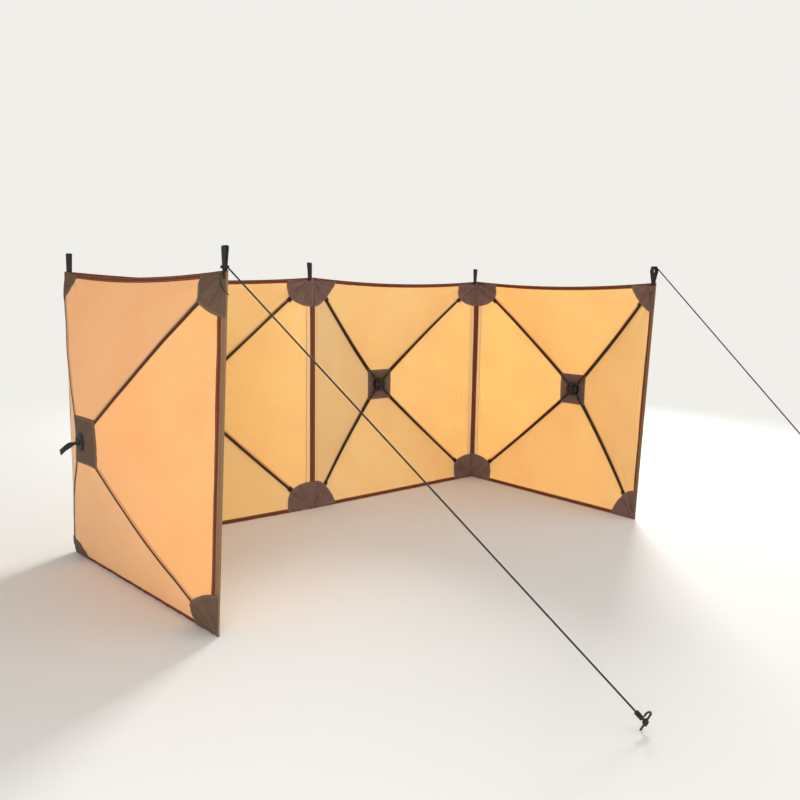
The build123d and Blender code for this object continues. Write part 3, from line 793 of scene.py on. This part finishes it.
def square_faces(rings, reach, hole):
    """Faces of a square grid, but for those within a hole by their points' reach from the middle,
    and the points that they use. Those on the diagonals are split, to fold over the rods."""
    count = 2 * rings + 1
    faces = []
    for a in range(count - 1):
        for b in range(count - 1):
            p, q = a * count + b, (a + 1) * count + b
            corners = (p, q, q + 1, p + 1)
            if reach[list(corners)].max() <= hole:
                continue
            if a == b:
                faces += [(p, q, q + 1), (p, q + 1, p + 1)]
            elif a + b == count - 2:
                faces += [(p, q, p + 1), (q, q + 1, p + 1)]
            else:
                faces.append(corners)
    used = sorted({k for face in faces for k in face})
    order = {k: n for n, k in enumerate(used)}
    return [tuple(order[k] for k in face) for face in faces], used


def sheet_part(wall, x, y, faces, low, high, flat=None):
    """A closed sheet between two offsets from the cloth's outer face, with the higher outwards."""
    a, b, c = wall.world(x, y, 0.0)[list(faces[0][:3])]
    if np.dot(np.cross(b - a, c - a), wall.outward) < 0:
        faces = [face[::-1] for face in faces]
    points, closed = shell(wall.place(x, y, high), wall.place(x, y, low), faces)
    flat = np.stack((x, y), axis=1) if flat is None else flat
    return points, closed, np.concatenate((flat, flat))


def cloth_piece(wall):
    """The one continuous sheet of a panel, from square rings of points round its hub."""
    s = sizes()
    rings = 88
    i, j = square_ticks(rings)
    ring = np.maximum(np.abs(i), np.abs(j))
    spots = np.zeros((len(i), 2))
    sides = ((i == -ring, j), (j == ring, i), (i == ring, -j), (j == -ring, -i))
    for number, (here, order) in enumerate(sides):
        share = np.where(ring > 0, (order / np.maximum(ring, 1) + 1) / 2, 0.5)
        target = np.stack(wall.on_edge(number, share, wall.sag(number, share)), axis=1)
        spot = wall.hub + (target - wall.hub) * (ring / rings)[:, None]
        spots[here] = spot[here]
    faces, used = square_faces(rings, ring, int(np.ceil(s.hub_hole / (s.side / 2) * rings)))
    x, y = spots[used].T
    part = sheet_part(wall, x, y, faces, CLOTH_MIDDLE - s.cloth / 2, CLOTH_MIDDLE + s.cloth / 2)
    piece = panel_piece(wall, "cloth", [part], ("canvas", "lit inner canvas"), "canvas",
                        ("top_gore", "bottom_gore", "side_gores"), range(len(faces), 2 * len(faces)))
    add_map(piece.data, "over_rods", np.tile(wall.over_rods(x, y), (2, 1)))
    return piece


def facings(wall, number, width, off, steps):
    """A strip on each face along one edge, off the cloth's middle, mitred at the corners."""
    a, b = wall.edge(number)
    run = hypot(*(b - a))
    columns = 7
    u, v = (grid.ravel() for grid in np.meshgrid(np.linspace(0, 1, steps), np.linspace(0, 1, columns),
                                                 indexing="ij"))
    mitre = v * width / run
    share = mitre + u * (1 - 2 * mitre)
    x, y = wall.on_edge(number, share, v * width + wall.sag(number, share))
    flat = np.stack((v * width, share * run), axis=1)
    trim = sizes().trim
    return [sheet_part(wall, x, y, grid_faces(steps, columns), low, low + trim, flat)
            for low in (CLOTH_MIDDLE + off, CLOTH_MIDDLE - off - trim)]


def rolled_edge(wall, number, gap, off, radius, steps):
    """The rounded edge over which two facings are folded."""
    share = np.linspace(gap, 1 - gap, steps)
    x, y = wall.on_edge(number, share, off + wall.sag(number, share))
    return tube(wall.place(x, y, CLOTH_MIDDLE), radius, 8)


def hem_piece(wall):
    """The bindings along the top and the bottom: a strip on each face, joined over the edge."""
    steps = 220
    parts = []
    for number, off in ((1, 0.0), (3, 1.8 * MM)):
        parts += facings(wall, number, sizes().hem, 0.3 * MM, steps)
        parts.append(rolled_edge(wall, number, 0.001, off, 1.6 * MM, steps))
    return panel_piece(wall, "hem_bindings", parts, ("hem",), "trim", ("hems",))


def band_piece(wall):
    """The bands along the upright edges, a strip on each face, and the stitched bead of each
    seam that the panel carries."""
    s = sizes()
    steps = 240
    parts, at_seam = [], []
    free = {"left_wing": 0, "right_wing": 2}.get(wall.name)
    for number in (0, 2):
        parts += facings(wall, number, s.band, 0.4 * MM, steps)
        parts.append(rolled_edge(wall, number, 0.004, 1.4 * MM, 1.5 * MM, steps))
        at_seam += [number != free] * 3
    for x in {"back_left": (0.0, s.side), "back_right": (s.side,)}.get(wall.name, ()):
        parts.append(tube(wall.world(x, np.linspace(s.bead, s.side - s.bead, 160), 0.0), s.bead, 14))
        at_seam.append(True)
    return panel_piece(wall, "edge_bands", parts, ("band", "seam"), "trim", ("side_bands",),
                       face_numbers(parts, at_seam))


def pocket_lift(wall, corner, x, y, base):
    """How far the inner patch stands off the cloth so as to cover the rod's end."""
    run = wall.way(corner)[1]
    along, off = wall.from_rod(corner, x, y)
    share = np.clip(along / run, 0, 1)
    rx, ry, depth = wall.rod_point(corner, share)
    need = wall.height(rx, ry, folded=False) - depth + sizes().rod_radius + GORE
    cover = eased((0.021 - np.abs(off)) / 0.015) * eased((share * run - 0.012) / 0.03)
    return base + np.maximum(need - base, 0) * cover


def corner_patch_piece(wall):
    """The quarter discs in the corners, on both faces, with the rods' pockets in the inner ones."""
    s = sizes()
    parts = []
    rounds, spokes = ((30, 90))
    for corner, c in enumerate(wall.corners):
        # the disc is centred on the corner, and its point lies in from the edges, most from the top
        origin = c + sum(wall.inward(edge) * (s.patch_inset * 0.4 + s.top_sag * 0.32 * (edge == 1))
                         for edge in (corner, (corner - 1) % 4))
        a, b = (atan2(*(wall.corners[(corner + step) % 4] - c)[::-1]) for step in (1, -1))
        turn = np.linspace(a, a + (b - a + pi) % (2 * pi) - pi, spokes)
        ray = np.stack((np.cos(turn), np.sin(turn)), axis=1)
        along = ray @ (origin - c)
        radius = -along + np.sqrt(along ** 2 - (origin - c) @ (origin - c) + s.corner_patch ** 2)
        share = np.linspace(0, 1, rounds)[1:, None, None]
        spots = origin + share * (ray * radius[:, None])
        x, y = np.concatenate((origin[None], spots.reshape(-1, 2))).T
        faces = [tuple(k + 1 for k in face) for face in grid_faces(rounds - 1, spokes)]
        faces += [(0, k + 2, k + 1) for k in range(spokes - 1)]
        r, turn = wall.polar(corner, x, y)
        flat = np.stack((s.corner_patch - r, np.arctan2(y - c[1], x - c[0]) * s.corner_patch), axis=1)
        # radiating folds, drawn up towards the corner
        turns = (turn * PLEATS / pi + wall.phases[corner, 4] / 9
                 + 0.12 * np.sin(turn * 7 + wall.phases[corner, 5]))
        ridges = 2 * np.abs(turns - np.round(turns))
        fold = PLEAT * ridges * np.clip(r / 0.11, 0, 1) * np.clip((1.04 - r / s.corner_patch) / 0.16, 0.3, 1)
        for low in (CLOTH_MIDDLE + 1.2 * MM + fold,
                    -pocket_lift(wall, corner, x, y, 3.2 * MM) - fold * 0.8):
            parts.append(sheet_part(wall, x, y, faces, low, low + s.trim, flat))
    return panel_piece(wall, "corner_pockets", parts, ("patch", "shaded outer patch"), "trim",
                       ("corner_patches",), face_numbers(parts, (True, False) * 4))


def hub_patch_piece(wall):
    """The square patches round the hub, on both faces, each with its opening."""
    s = sizes()
    rings, half = 24, s.hub_patch / 2
    i, j = (tick * half / rings for tick in square_ticks(rings))
    reach = np.maximum(np.abs(i), np.abs(j))
    faces, used = square_faces(rings, reach, s.hub_hole * 1.04)
    x, y = wall.hub[0] + i[used], wall.hub[1] + j[used]
    flat = np.stack((half - reach[used], x + y), axis=1)
    parts = [sheet_part(wall, x, y, faces, low, low + s.trim, flat) for low in (0.0, -GORE - s.trim)]
    return panel_piece(wall, "hub_squares", parts, ("patch", "shaded outer patch"), "trim",
                       ("hub_patches",), face_numbers(parts, (True, False)))


def keeper(wall, corner):
    """The short webbing that holds a rod to the cloth, just past its pocket."""
    s = sizes()
    run = wall.way(corner)[1]
    first, last = (wall.rod_place(corner, (s.corner_patch + past * MM) / run) for past in (2, 25))
    ahead = unit(last - first)
    aside = unit(np.cross(ahead, wall.outward))
    out = np.cross(aside, ahead)
    middle = (first + last) / 2
    around = s.rod_radius + 1.2 * MM
    feet = []
    for side in (-14, -9, 9, 14):
        beside = middle + aside * side * MM - wall.start
        x, y, depth = beside.dot(wall.along), beside[2] + wall.start[2], beside.dot(wall.outward)
        under = wall.height(x + np.array((-8, -8, 8, 8)) * MM, y + np.array((-8, 8, -8, 8)) * MM).min()
        feet.append((side * MM, (under - depth) * out.dot(wall.outward) - 3.0 * MM))
    hoop = [(around * cos(turn), around * sin(turn)) for turn in np.linspace(pi * 1.08, pi * 1.92, 9)]
    neck = around + 0.4 * MM
    path = feet[:2] + [(-neck, 1.5 * MM)] + hoop + [(neck, 1.5 * MM)] + feet[2:]
    line = [middle + aside * u + out * v for u, v in smooth_line(path, 4)]
    return strap(line, ahead, 23 * MM, 1.5 * MM)


def loop(wall, x, spread, lean):
    """A webbing loop that stands up from the top edge, leaning along it."""
    s = sizes()
    half, tall = spread / 2, 87 * MM
    rising = [(-1.9 * MM, -30 * MM), (-2.0 * MM, -12 * MM), (-2.4 * MM, 2 * MM), (-0.62 * half, tall * 0.45),
              (-0.98 * half, tall - half * 0.9), (-0.72 * half, tall - half * 0.3)]
    path = rising + [(0, tall)] + [(-depth, up) for depth, up in reversed(rising)]
    line = []
    for depth, up in smooth_line(path, 8):
        if up < 2 * MM:
            beside = wall.height(np.array([x]), np.array([s.side + min(up, -1 * MM)]))[0]
            depth += beside + CLOTH_MIDDLE
        line.append(wall.world(x + lean * (max(up, 0) / tall) ** 1.5, s.side + up, depth))
    return strap(line, wall.along, s.webbing, s.webbing_thickness)


def pull_tab(wall):
    """The tab on the hub's outer cap. Its two layers lie on each other and turn together, broad
    side up at the root and to the side at the end."""
    root = wall.world(*wall.hub, hub_depths(wall)[1])
    path = np.array([(-1, 14), (1, 8), (9, 1), (30, -3), (54, -14), (70, -27), (74, -32),
                     (72, -35.5), (66, -32.5), (50, -19.5), (28, -8.5), (9, -4.5), (1, -8), (-1, -14)]) * MM
    middle = np.array([(-1, 0), (9, -1.75), (29, -5.75), (52, -16.75), (68, -29.75), (74, -34)]) * MM
    line, across = [], []
    for depth, up in smooth_line(path, 6):
        heart = np.interp(depth, *middle.T)
        turn = radians(68) * eased((depth - 10 * MM) / (48 * MM))
        upwards = UP * cos(turn) - wall.along * sin(turn)
        line.append(root + wall.outward * depth + UP * heart + upwards * (up - heart))
        across.append(wall.along * cos(turn) + UP * sin(turn))
    return strap(line, across, sizes().webbing * 0.96, 1.6 * MM)


def webbing_piece(wall, loops):
    """The keepers that hold the rods to the cloth, the loops on the top corners, and the pull
    tab on the hub."""
    parts = [keeper(wall, corner) for corner in range(4)] + [loop(wall, *shape) for shape in loops]
    return panel_piece(wall, "straps", parts + [pull_tab(wall)], ("webbing",), "webbing", ("webbing",))


def hub_depths(wall):
    """How far the hub's inner and outer faces stand out of the panel's plane, from the frame."""
    mesh = frame["nodes"][f"{wall.name}_hub"].data
    depths = [np.dot(np.array(v.co) - wall.start, wall.outward) for v in mesh.vertices]
    return min(depths), max(depths)


def rod_piece(wall):
    """The four rods of a panel, each bent from its pocket to its socket."""
    parts = []
    for corner in range(4):
        run = wall.way(corner)[1]
        share = np.linspace(43 * MM / run, 1 - 51 * MM / run, 60)
        parts.append(tube(wall.rod_place(corner, share), sizes().rod_radius, 20))
    return panel_piece(wall, "bent_rods", parts, ("rod",), "rod", ("rods",))


# Hard fittings, modelled in millimetres about their own axes and then set in their place

def deselect():
    bpy.ops.object.select_all(action="DESELECT")


def select(*pieces):
    deselect()
    for piece in pieces:
        piece.select_set(True)
    bpy.context.view_layer.objects.active = pieces[0]


def in_metres(values):
    return tuple(value * MM for value in values)


def turned(name, profile, sides):
    """A round solid about Z, drawn up ring by ring from its list of radius and height."""
    deselect()
    (radius, height), *rest = (in_metres(ring) for ring in profile)
    bpy.ops.mesh.primitive_circle_add(vertices=sides, radius=radius, fill_type="NGON",
                                      location=(0, 0, height))
    piece = bpy.context.object
    piece.name = name
    bpy.ops.object.transform_apply(location=True, rotation=True, scale=True)
    bpy.ops.object.mode_set(mode="EDIT")
    bpy.ops.mesh.select_all(action="SELECT")
    for wider, higher in rest:
        bpy.ops.mesh.extrude_region_move(TRANSFORM_OT_translate={"value": (0, 0, higher - height)})
        bpy.ops.transform.resize(value=(wider / radius, wider / radius, 1), center_override=(0, 0, higher))
        radius, height = wider, higher
    bpy.ops.mesh.select_all(action="SELECT")
    bpy.ops.mesh.normals_make_consistent(inside=False)
    bpy.ops.object.mode_set(mode="OBJECT")
    return piece


def block(size, middle, turn=0.0):
    """A box by its size, its middle and its turn about Z."""
    deselect()
    bpy.ops.mesh.primitive_cube_add(size=1, location=in_metres(middle), rotation=(0, 0, turn),
                                    scale=in_metres(size))
    bpy.ops.object.transform_apply(location=True, rotation=True, scale=True)
    return bpy.context.object


def pin(radius, span, middle=(0, 0, 0), turn=(0, pi / 2, 0), sides=24):
    """A round pin by its radius and length, its middle and how it is turned from Z."""
    deselect()
    bpy.ops.mesh.primitive_cylinder_add(vertices=sides, radius=radius * MM, depth=span * MM,
                                        location=in_metres(middle), rotation=turn)
    bpy.ops.object.transform_apply(location=True, rotation=True, scale=True)
    return bpy.context.object


def combine(piece, tool, way):
    """Adds a tool's form to a piece, or takes it out."""
    change = piece.modifiers.new("form", "BOOLEAN")
    change.operation, change.solver, change.object = way, "EXACT", tool
    select(piece)
    bpy.ops.object.modifier_apply(modifier=change.name)
    bpy.data.objects.remove(tool)


def soften(piece, width):
    """Rounds a moulding's edges."""
    bevel = piece.modifiers.new("soft edges", "BEVEL")
    bevel.width, bevel.segments, bevel.limit_method, bevel.angle_limit = width * MM, 2, "ANGLE", radians(35)
    bevel.use_clamp_overlap = True
    select(piece)
    bpy.ops.object.modifier_apply(modifier=bevel.name)
    bpy.ops.object.shade_smooth_by_angle(angle=radians(32))


def set_in_place(piece, across, upwards, forward, origin):
    """Moves a piece's mesh from its own axes to a place in the frame."""
    columns = [Vector(tuple(axis)) for axis in (across, upwards, forward, origin)]
    piece.data.transform(Matrix([[column[row] for column in columns] for row in range(3)] + [[0, 0, 0, 1]]))
    piece.data.update()


def dressed(pieces, name, material, node, body, slot):
    """One named piece from several, with its finish, that stands for a node of the frame."""
    select(*pieces)
    if len(pieces) > 1:
        bpy.ops.object.join()
    piece = pieces[0]
    piece.name = name
    piece.data.name = name
    piece.data.materials.clear()
    piece.data.materials.append(finish(material))
    return stand_for(piece, body, slot, node)


def hub_piece(wall):
    """The moulded hub: a slotted block with four pins, a waist and flange inside the cloth, a
    spigot through it and a domed cap outside."""
    low, high = (depth / MM for depth in hub_depths(wall))
    shoulder, cap = low + 26, high - 6.5
    lip = wall.height(wall.hub[:1] + 38 * MM, wall.hub[1:])[0] / MM - 3.6
    piece = turned("hub", [
        (11, low + 1.6), (12.5, low), (38.6, low), (40.8, low + 0.8), (42, low + 2.8), (42, shoulder - 1),
        (41, shoulder), (21, shoulder), (20, shoulder + 0.6), (20, lip - 3), (37.4, lip - 3),
        (38, lip - 2.4), (38, lip), (26, lip), (26, cap), (37.2, cap), (38, cap + 0.7), (38, cap + 2.4),
        (36, cap + 4.2), (32, cap + 5.6), (27, cap + 6.3), (22, cap + 6.5), (20.5, cap + 5.3)], 64)
    pins = []
    for corner in range(4):
        ahead = wall.corners[corner] - wall.hub
        turn = atan2(-ahead[1], ahead[0])
        x, y, _ = wall.rod_point(corner, pin_share(wall, corner))
        out = hypot(x - wall.hub[0], y - wall.hub[1]) / MM
        middle = out - 9.5 + 60 / 2
        slot = block((60, 13, 28), (middle * cos(turn), middle * sin(turn), shoulder - 13), turn)
        combine(piece, slot, "DIFFERENCE")
        pins.append(pin(3, 20, (out * cos(turn), out * sin(turn), low + 13), (pi / 2, 0, turn)))
    soften(piece, 0.7)
    origin = wall.world(*wall.hub, 0.0)
    for part in [piece] + pins:
        set_in_place(part, wall.along, -UP, wall.outward, origin)
    return dressed([piece] + pins, f"{wall.name}_moulded_hub", "nylon", f"{wall.name}_hub", wall.name,
                   "moulding")


def pin_share(wall, corner):
    """The share of a rod's plan length at which its socket's pin lies."""
    near = PIN_REACH / wall.way(corner)[1]
    step = wall.rod_place(corner, 1.0) - wall.rod_place(corner, 1 - near)
    return 1 - near * PIN_REACH / np.linalg.norm(step)


def socket_model():
    """A socket about its rod's line, with its eye's pin along X."""
    barrel = turned("socket", [
        (6.2, 13.4), (8.0, 14.4), (8.3, 15.2), (8.3, 21), (9.0, 21.6), (9.0, 24.4), (8.3, 25), (8.3, 54.5),
        (8.9, 55.1), (8.9, 60.8), (8.2, 62), (5.9, 62), (5.7, 61.4), (5.7, 20.6)], 32)
    arm = block((12, 13, 16), (0, 0, 8))
    combine(arm, pin(8, 12, sides=40), "UNION")
    combine(arm, pin(3.2, 20, sides=32), "DIFFERENCE")
    combine(barrel, arm, "UNION")
    soften(barrel, 0.5)
    return barrel


def sockets_piece(wall, model):
    """The four sockets of a hub, each on its pin and in line with its rod."""
    made = []
    for corner in range(4):
        piece = bpy.data.objects.new("socket", model.data.copy())
        bpy.context.scene.collection.objects.link(piece)
        share = pin_share(wall, corner)
        here = wall.rod_place(corner, share)
        forward = unit(wall.rod_place(corner, share - 60 * MM / wall.way(corner)[1]) - here)
        across = unit(np.cross(wall.outward, forward))
        set_in_place(piece, across, np.cross(forward, across), forward, here)
        made.append(piece)
    return dressed(made, f"{wall.name}_rod_sockets", "nylon", f"{wall.name}_sockets", wall.name, "moulding")


def peg_piece(side, ground, axis, heading):
    """A wire peg from the ground up: a straight shank, bent over into a hook."""
    back = unit(np.cross(np.cross(axis, heading_vector(heading + radians(225))), axis))
    bend, rise = PEG_BEND * MM, PEG_RISE * MM
    piece = turned("peg", [(PEG_WIRE, height) for height in (-15.5, 0.0, 20, PEG_RISE)], 20)
    bpy.ops.object.mode_set(mode="EDIT")
    bpy.ops.mesh.select_all(action="DESELECT")
    bpy.ops.object.mode_set(mode="OBJECT")
    for face in piece.data.polygons:
        face.select = len(face.vertices) > 4 and face.center.z > 50 * MM
    bpy.ops.object.mode_set(mode="EDIT")
    bpy.ops.mesh.spin(steps=16, angle=-pi, center=(bend, 0, rise), axis=(0, 1, 0), use_normal_flip=False)
    for drop, share, height in ((7, 0.82, rise - 7 * MM), (1, 0.6, rise - 8 * MM)):
        bpy.ops.mesh.extrude_region_move(TRANSFORM_OT_translate={"value": (0, 0, -drop * MM)})
        bpy.ops.transform.resize(value=(share, share, 1), center_override=(2 * bend, 0, height))
    bpy.ops.mesh.select_all(action="SELECT")
    bpy.ops.mesh.remove_doubles(threshold=0.00005)
    bpy.ops.mesh.normals_make_consistent(inside=False)
    bpy.ops.object.mode_set(mode="OBJECT")
    set_in_place(piece, back, np.cross(axis, back), axis, ground)
    select(piece)
    bpy.ops.object.mode_set(mode="EDIT")
    bpy.ops.mesh.select_all(action="SELECT")
    bpy.ops.mesh.bisect(plane_co=(0, 0, 0), plane_no=(0, 0, 1), use_fill=True, clear_inner=True)
    bpy.ops.object.mode_set(mode="OBJECT")
    bpy.ops.object.shade_smooth_by_angle(angle=radians(40))
    return dressed([piece], f"{side}_wire_peg", "steel", f"{side}_peg", f"{side}_wing", "peg_metal")


# Guy lines

def loop_inset():
    """From a panel's free edge to the middle of a loop beside it."""
    return sizes().webbing / 2 + 8 * MM


def ties():
    """For each guy line its wall, the place of its hitch, its heading, the depth of its hitch,
    and whether the hitch stands upright."""
    s = sizes()
    left, right = walls()[0], walls()[3]
    return {
        "left": (left, -s.left_lean / 2 + loop_inset(), s.side + 12 * MM, radians(-61.5), 9 * MM, False),
        "right": (right, s.side + s.right_lean / 2 - loop_inset(), s.side + 86 * MM, radians(-88),
                  2.8 * MM, True),
    }


def tie_places(wall, x, y, heading):
    """The middle of a hitch, its peg's place on the ground, and the peg's axis."""
    centre = wall.world(x, y, 0.0)
    ground = centre * (1, 1, 0) + heading_vector(heading) * GUY_RUN
    return centre, ground, UP * cos(PEG_LEAN) + heading_vector(heading) * sin(PEG_LEAN)


def circle(centre, first, second, count):
    """Points round a centre, from the end of one radius by way of the other's."""
    return [centre + first * cos(turn) + second * sin(turn) for turn in np.linspace(0, 2 * pi, count)]


def guy_line(side, wall, x, y, heading, hole, upright):
    """A taut line, with two turns round its loop, three round its peg and a coiled knot."""
    s = sizes()
    r = s.cord_radius
    centre, ground, axis = tie_places(wall, x, y, heading)
    foot = ground + axis * 32 * MM
    wide, deep = s.webbing / 2 + 0.4 * MM + r, hole / 2 + r
    start = centre + wall.along * wide * (1 if np.dot(foot - centre, wall.along) > 0 else -1)
    other = UP if upright else wall.outward
    aside = np.cross(wall.along, other) * r * 0.9
    parts = []
    for shift in (-aside, aside):
        ring = []
        for turn in np.linspace(0, 2 * pi, 41):
            u, v = (np.sign(w) * abs(w) ** 0.35 for w in (cos(turn), sin(turn)))
            ring.append(centre + wall.along * wide * u + other * deep * v + shift)
        parts.append(tube(ring, r * 0.92, 10))
    parts.append(tube([start + (foot - start) * share for share in np.linspace(0, 1, 80)], r, 12))
    toward = unit(foot - start)
    sideways = unit(np.cross(toward, axis))
    upwards = np.cross(sideways, toward)
    reach = PEG_WIRE * MM + r * 0.95
    for place in (-1, 0, 1):
        ring = circle(foot + axis * place * 2 * r * 0.9, toward * reach, sideways * reach, 25)
        parts.append(tube(ring, r * 0.95, 10))
    for place in range(5):
        middle = foot - toward * (16 * MM + place * 2 * r * 0.88)
        parts.append(tube(circle(middle, upwards * r * 1.85, sideways * r * 1.85, 17), r * 0.9, 10))
    piece = mesh_piece(f"{side}_guy_line", parts, ("cord",))
    return stand_for(piece, wall.name, "guy_cord", f"{side}_guy")


def loose_end(wall):
    """The loose end of the left guy line, which hangs from its hitch."""
    s = sizes()
    x, y, depth = -s.left_lean / 2 + loop_inset(), s.side + 9.5 * MM, 7.4 * MM
    steps = ((0, 0, 0), (0, -20, 0), (9, -42, 11), (-4, -66, 12), (-26, -84, 11), (-50, -95, 9))
    points = [wall.world(x + a * MM, y + b * MM, depth + c * MM) for a, b, c in steps]
    curve = bpy.data.curves.new("left_guy_loose_end", "CURVE")
    curve.dimensions = "3D"
    spline = curve.splines.new("NURBS")
    spline.points.add(len(points) - 1)
    for spot, point in zip(spline.points, points):
        spot.co = (*point, 1.0)
    spline.order_u = 3
    spline.use_endpoint_u = True
    spline.resolution_u = 12
    curve.bevel_depth = 2 * MM
    curve.bevel_resolution = 3
    curve.use_fill_caps = True
    curve.materials.append(finish("nylon"))
    tail = bpy.data.objects.new("left_guy_loose_end", curve)
    bpy.context.scene.collection.objects.link(tail)
    stand_for(tail, "left_wing", "guy_cord", "left_guy_tail")


class WINDBREAK_OT_panels(Operator):
    """Add the cloth, bindings, bands, patches, straps and rods of the four panels"""
    bl_idname = "windbreak.panels"
    bl_label = "Add panels"
    bl_options = {"REGISTER", "UNDO"}

    def execute(self, context):
        s = sizes()
        inset = loop_inset()
        narrow, wide = 16 * MM, 46 * MM
        loops = {
            "left_wing": ((-s.left_lean / 2 + inset, narrow, -4 * MM),),
            "back_left": ((inset, narrow, 2 * MM), (s.side - inset, narrow, -3 * MM)),
            "back_right": ((s.side - inset, narrow, 2 * MM),),
            "right_wing": ((s.side + s.right_lean / 2 - inset, wide, 2 * MM),),
        }
        for wall in walls():
            cloth = cloth_piece(wall)
            trims = [hem_piece(wall), band_piece(wall), corner_patch_piece(wall), hub_patch_piece(wall)]
            webbing_piece(wall, loops[wall.name])
            rod_piece(wall)
        return {"FINISHED"}


class WINDBREAK_OT_fittings(Operator):
    """Add the hubs, the rods' sockets and the pegs"""
    bl_idname = "windbreak.fittings"
    bl_label = "Add fittings"
    bl_options = {"REGISTER", "UNDO"}

    def execute(self, context):
        model = socket_model()
        for wall in walls():
            hub_piece(wall)
            sockets_piece(wall, model)
        bpy.data.objects.remove(model)
        for side, (wall, x, y, heading, _, _) in ties().items():
            _, ground, axis = tie_places(wall, x, y, heading)
            peg_piece(side, ground, axis, heading)
        return {"FINISHED"}


class WINDBREAK_OT_lines(Operator):
    """Add the two guy lines, with their hitches and knots, and the loose end of the left one"""
    bl_idname = "windbreak.lines"
    bl_label = "Add guy lines"
    bl_options = {"REGISTER", "UNDO"}

    def execute(self, context):
        for side, tie in ties().items():
            guy_line(side, *tie)
        loose_end(walls()[0])
        return {"FINISHED"}


class WINDBREAK_OT_stage(Operator):
    """Set the camera, the lamps, the even light and the pale floor"""
    bl_idname = "windbreak.stage"
    bl_label = "Set the stage"
    bl_options = {"REGISTER", "UNDO"}

    def execute(self, context):
        scene = context.scene
        stage = scene.windbreak_stage
        camera = bpy.data.cameras.new("camera")
        camera.sensor_width = 36.0
        camera.lens = stage.lens
        camera.clip_end = 200.0
        eye = bpy.data.objects.new("camera", camera)
        scene.collection.objects.link(eye)
        eye.rotation_mode = "QUATERNION"
        turn = Matrix.Rotation(stage.heading - pi / 2, 4, "Z") @ Matrix.Rotation(pi / 2 - stage.dip, 4, "X")
        turn = turn @ Matrix.Rotation(stage.roll, 4, "Z")
        eye.matrix_world = Matrix.Translation((stage.camera_x, stage.camera_y, stage.camera_z)) @ turn
        scene.camera = eye

        lamps = (
            ("key lamp", (-4.2, -5.2, 1.2), stage.key, 3.0),
            ("fill lamp", (3.2, -4.6, 3.4), stage.fill, 4.0),
            ("back lamp", (7.5, 3.6, 5.55), stage.back, 3.0),
        )
        for name, spot, watts, size in lamps:
            lamp = bpy.data.lights.new(name, "AREA")
            lamp.energy = watts
            lamp.size = size
            holder = bpy.data.objects.new(name, lamp)
            holder.location = spot
            holder.rotation_mode = "QUATERNION"
            holder.rotation_quaternion = (Vector((0, -0.4, 0.6)) - Vector(spot)).to_track_quat("-Z", "Y")
            scene.collection.objects.link(holder)

        # The even light is white; the camera and mirrors see the floor's colour instead
        world = bpy.data.worlds.new("even light")
        world.use_nodes = True
        scene.world = world
        light = world.node_tree.nodes["Background"]
        set_inputs(world, light, {"Color": (1, 1, 1, 1), "Strength": stage.world})
        seen = add_node(world, "ShaderNodeBackground", {"Color": linear(stage.floor), "Strength": 1.0})
        path = add_node(world, "ShaderNodeLightPath").outputs
        either = calculate(world, "MAXIMUM", path["Is Camera Ray"], path["Is Glossy Ray"])
        mix = add_node(world, "ShaderNodeMixShader", {0: either, 1: light.outputs[0], 2: seen.outputs[0]})
        set_inputs(world, world.node_tree.nodes["World Output"], {"Surface": mix.outputs[0]})

        deselect()
        bpy.ops.mesh.primitive_circle_add(vertices=96, radius=60.0, fill_type="NGON", location=(0, 0, 0))
        floor = context.object
        floor.name = "floor"
        floor.data.materials.append(floor_material(stage))
        scene.view_settings.view_transform = "Standard"
        return {"FINISHED"}


class WINDBREAK_PT_sidebar(Panel):
    """The windbreak's sizes, colours and steps"""
    bl_idname = "WINDBREAK_PT_sidebar"
    bl_label = "Windbreak"
    bl_space_type = "VIEW_3D"
    bl_region_type = "UI"
    bl_category = "Windbreak"

    def draw(self, context):
        for step in STEPS:
            self.layout.operator(step.bl_idname)
        for name in GROUPS:
            group = getattr(context.scene, name)
            box = self.layout.box()
            for field in group.__annotations__:
                box.prop(group, field)


STEPS = (WINDBREAK_OT_stage, WINDBREAK_OT_lines, WINDBREAK_OT_fittings, WINDBREAK_OT_panels)
GROUPS = {"windbreak_sizes": WindbreakSizes, "windbreak_colours": WindbreakColours,
          "windbreak_stage": WindbreakStage}


def register():
    for group in GROUPS.values():
        bpy.utils.register_class(group)
    for step in STEPS + (WINDBREAK_PT_sidebar,):
        bpy.utils.register_class(step)
    for name, group in GROUPS.items():
        setattr(bpy.types.Scene, name, PointerProperty(type=group))


def unregister():
    for name in GROUPS:
        delattr(bpy.types.Scene, name)
    for step in (WINDBREAK_PT_sidebar,) + STEPS[::-1]:
        bpy.utils.unregister_class(step)
    for group in GROUPS.values():
        bpy.utils.unregister_class(group)


def main():
    register()
    for step in STEPS:
        group, name = step.bl_idname.split(".")
        getattr(getattr(bpy.ops, group), name)()


if __name__ == "__main__":
    main()
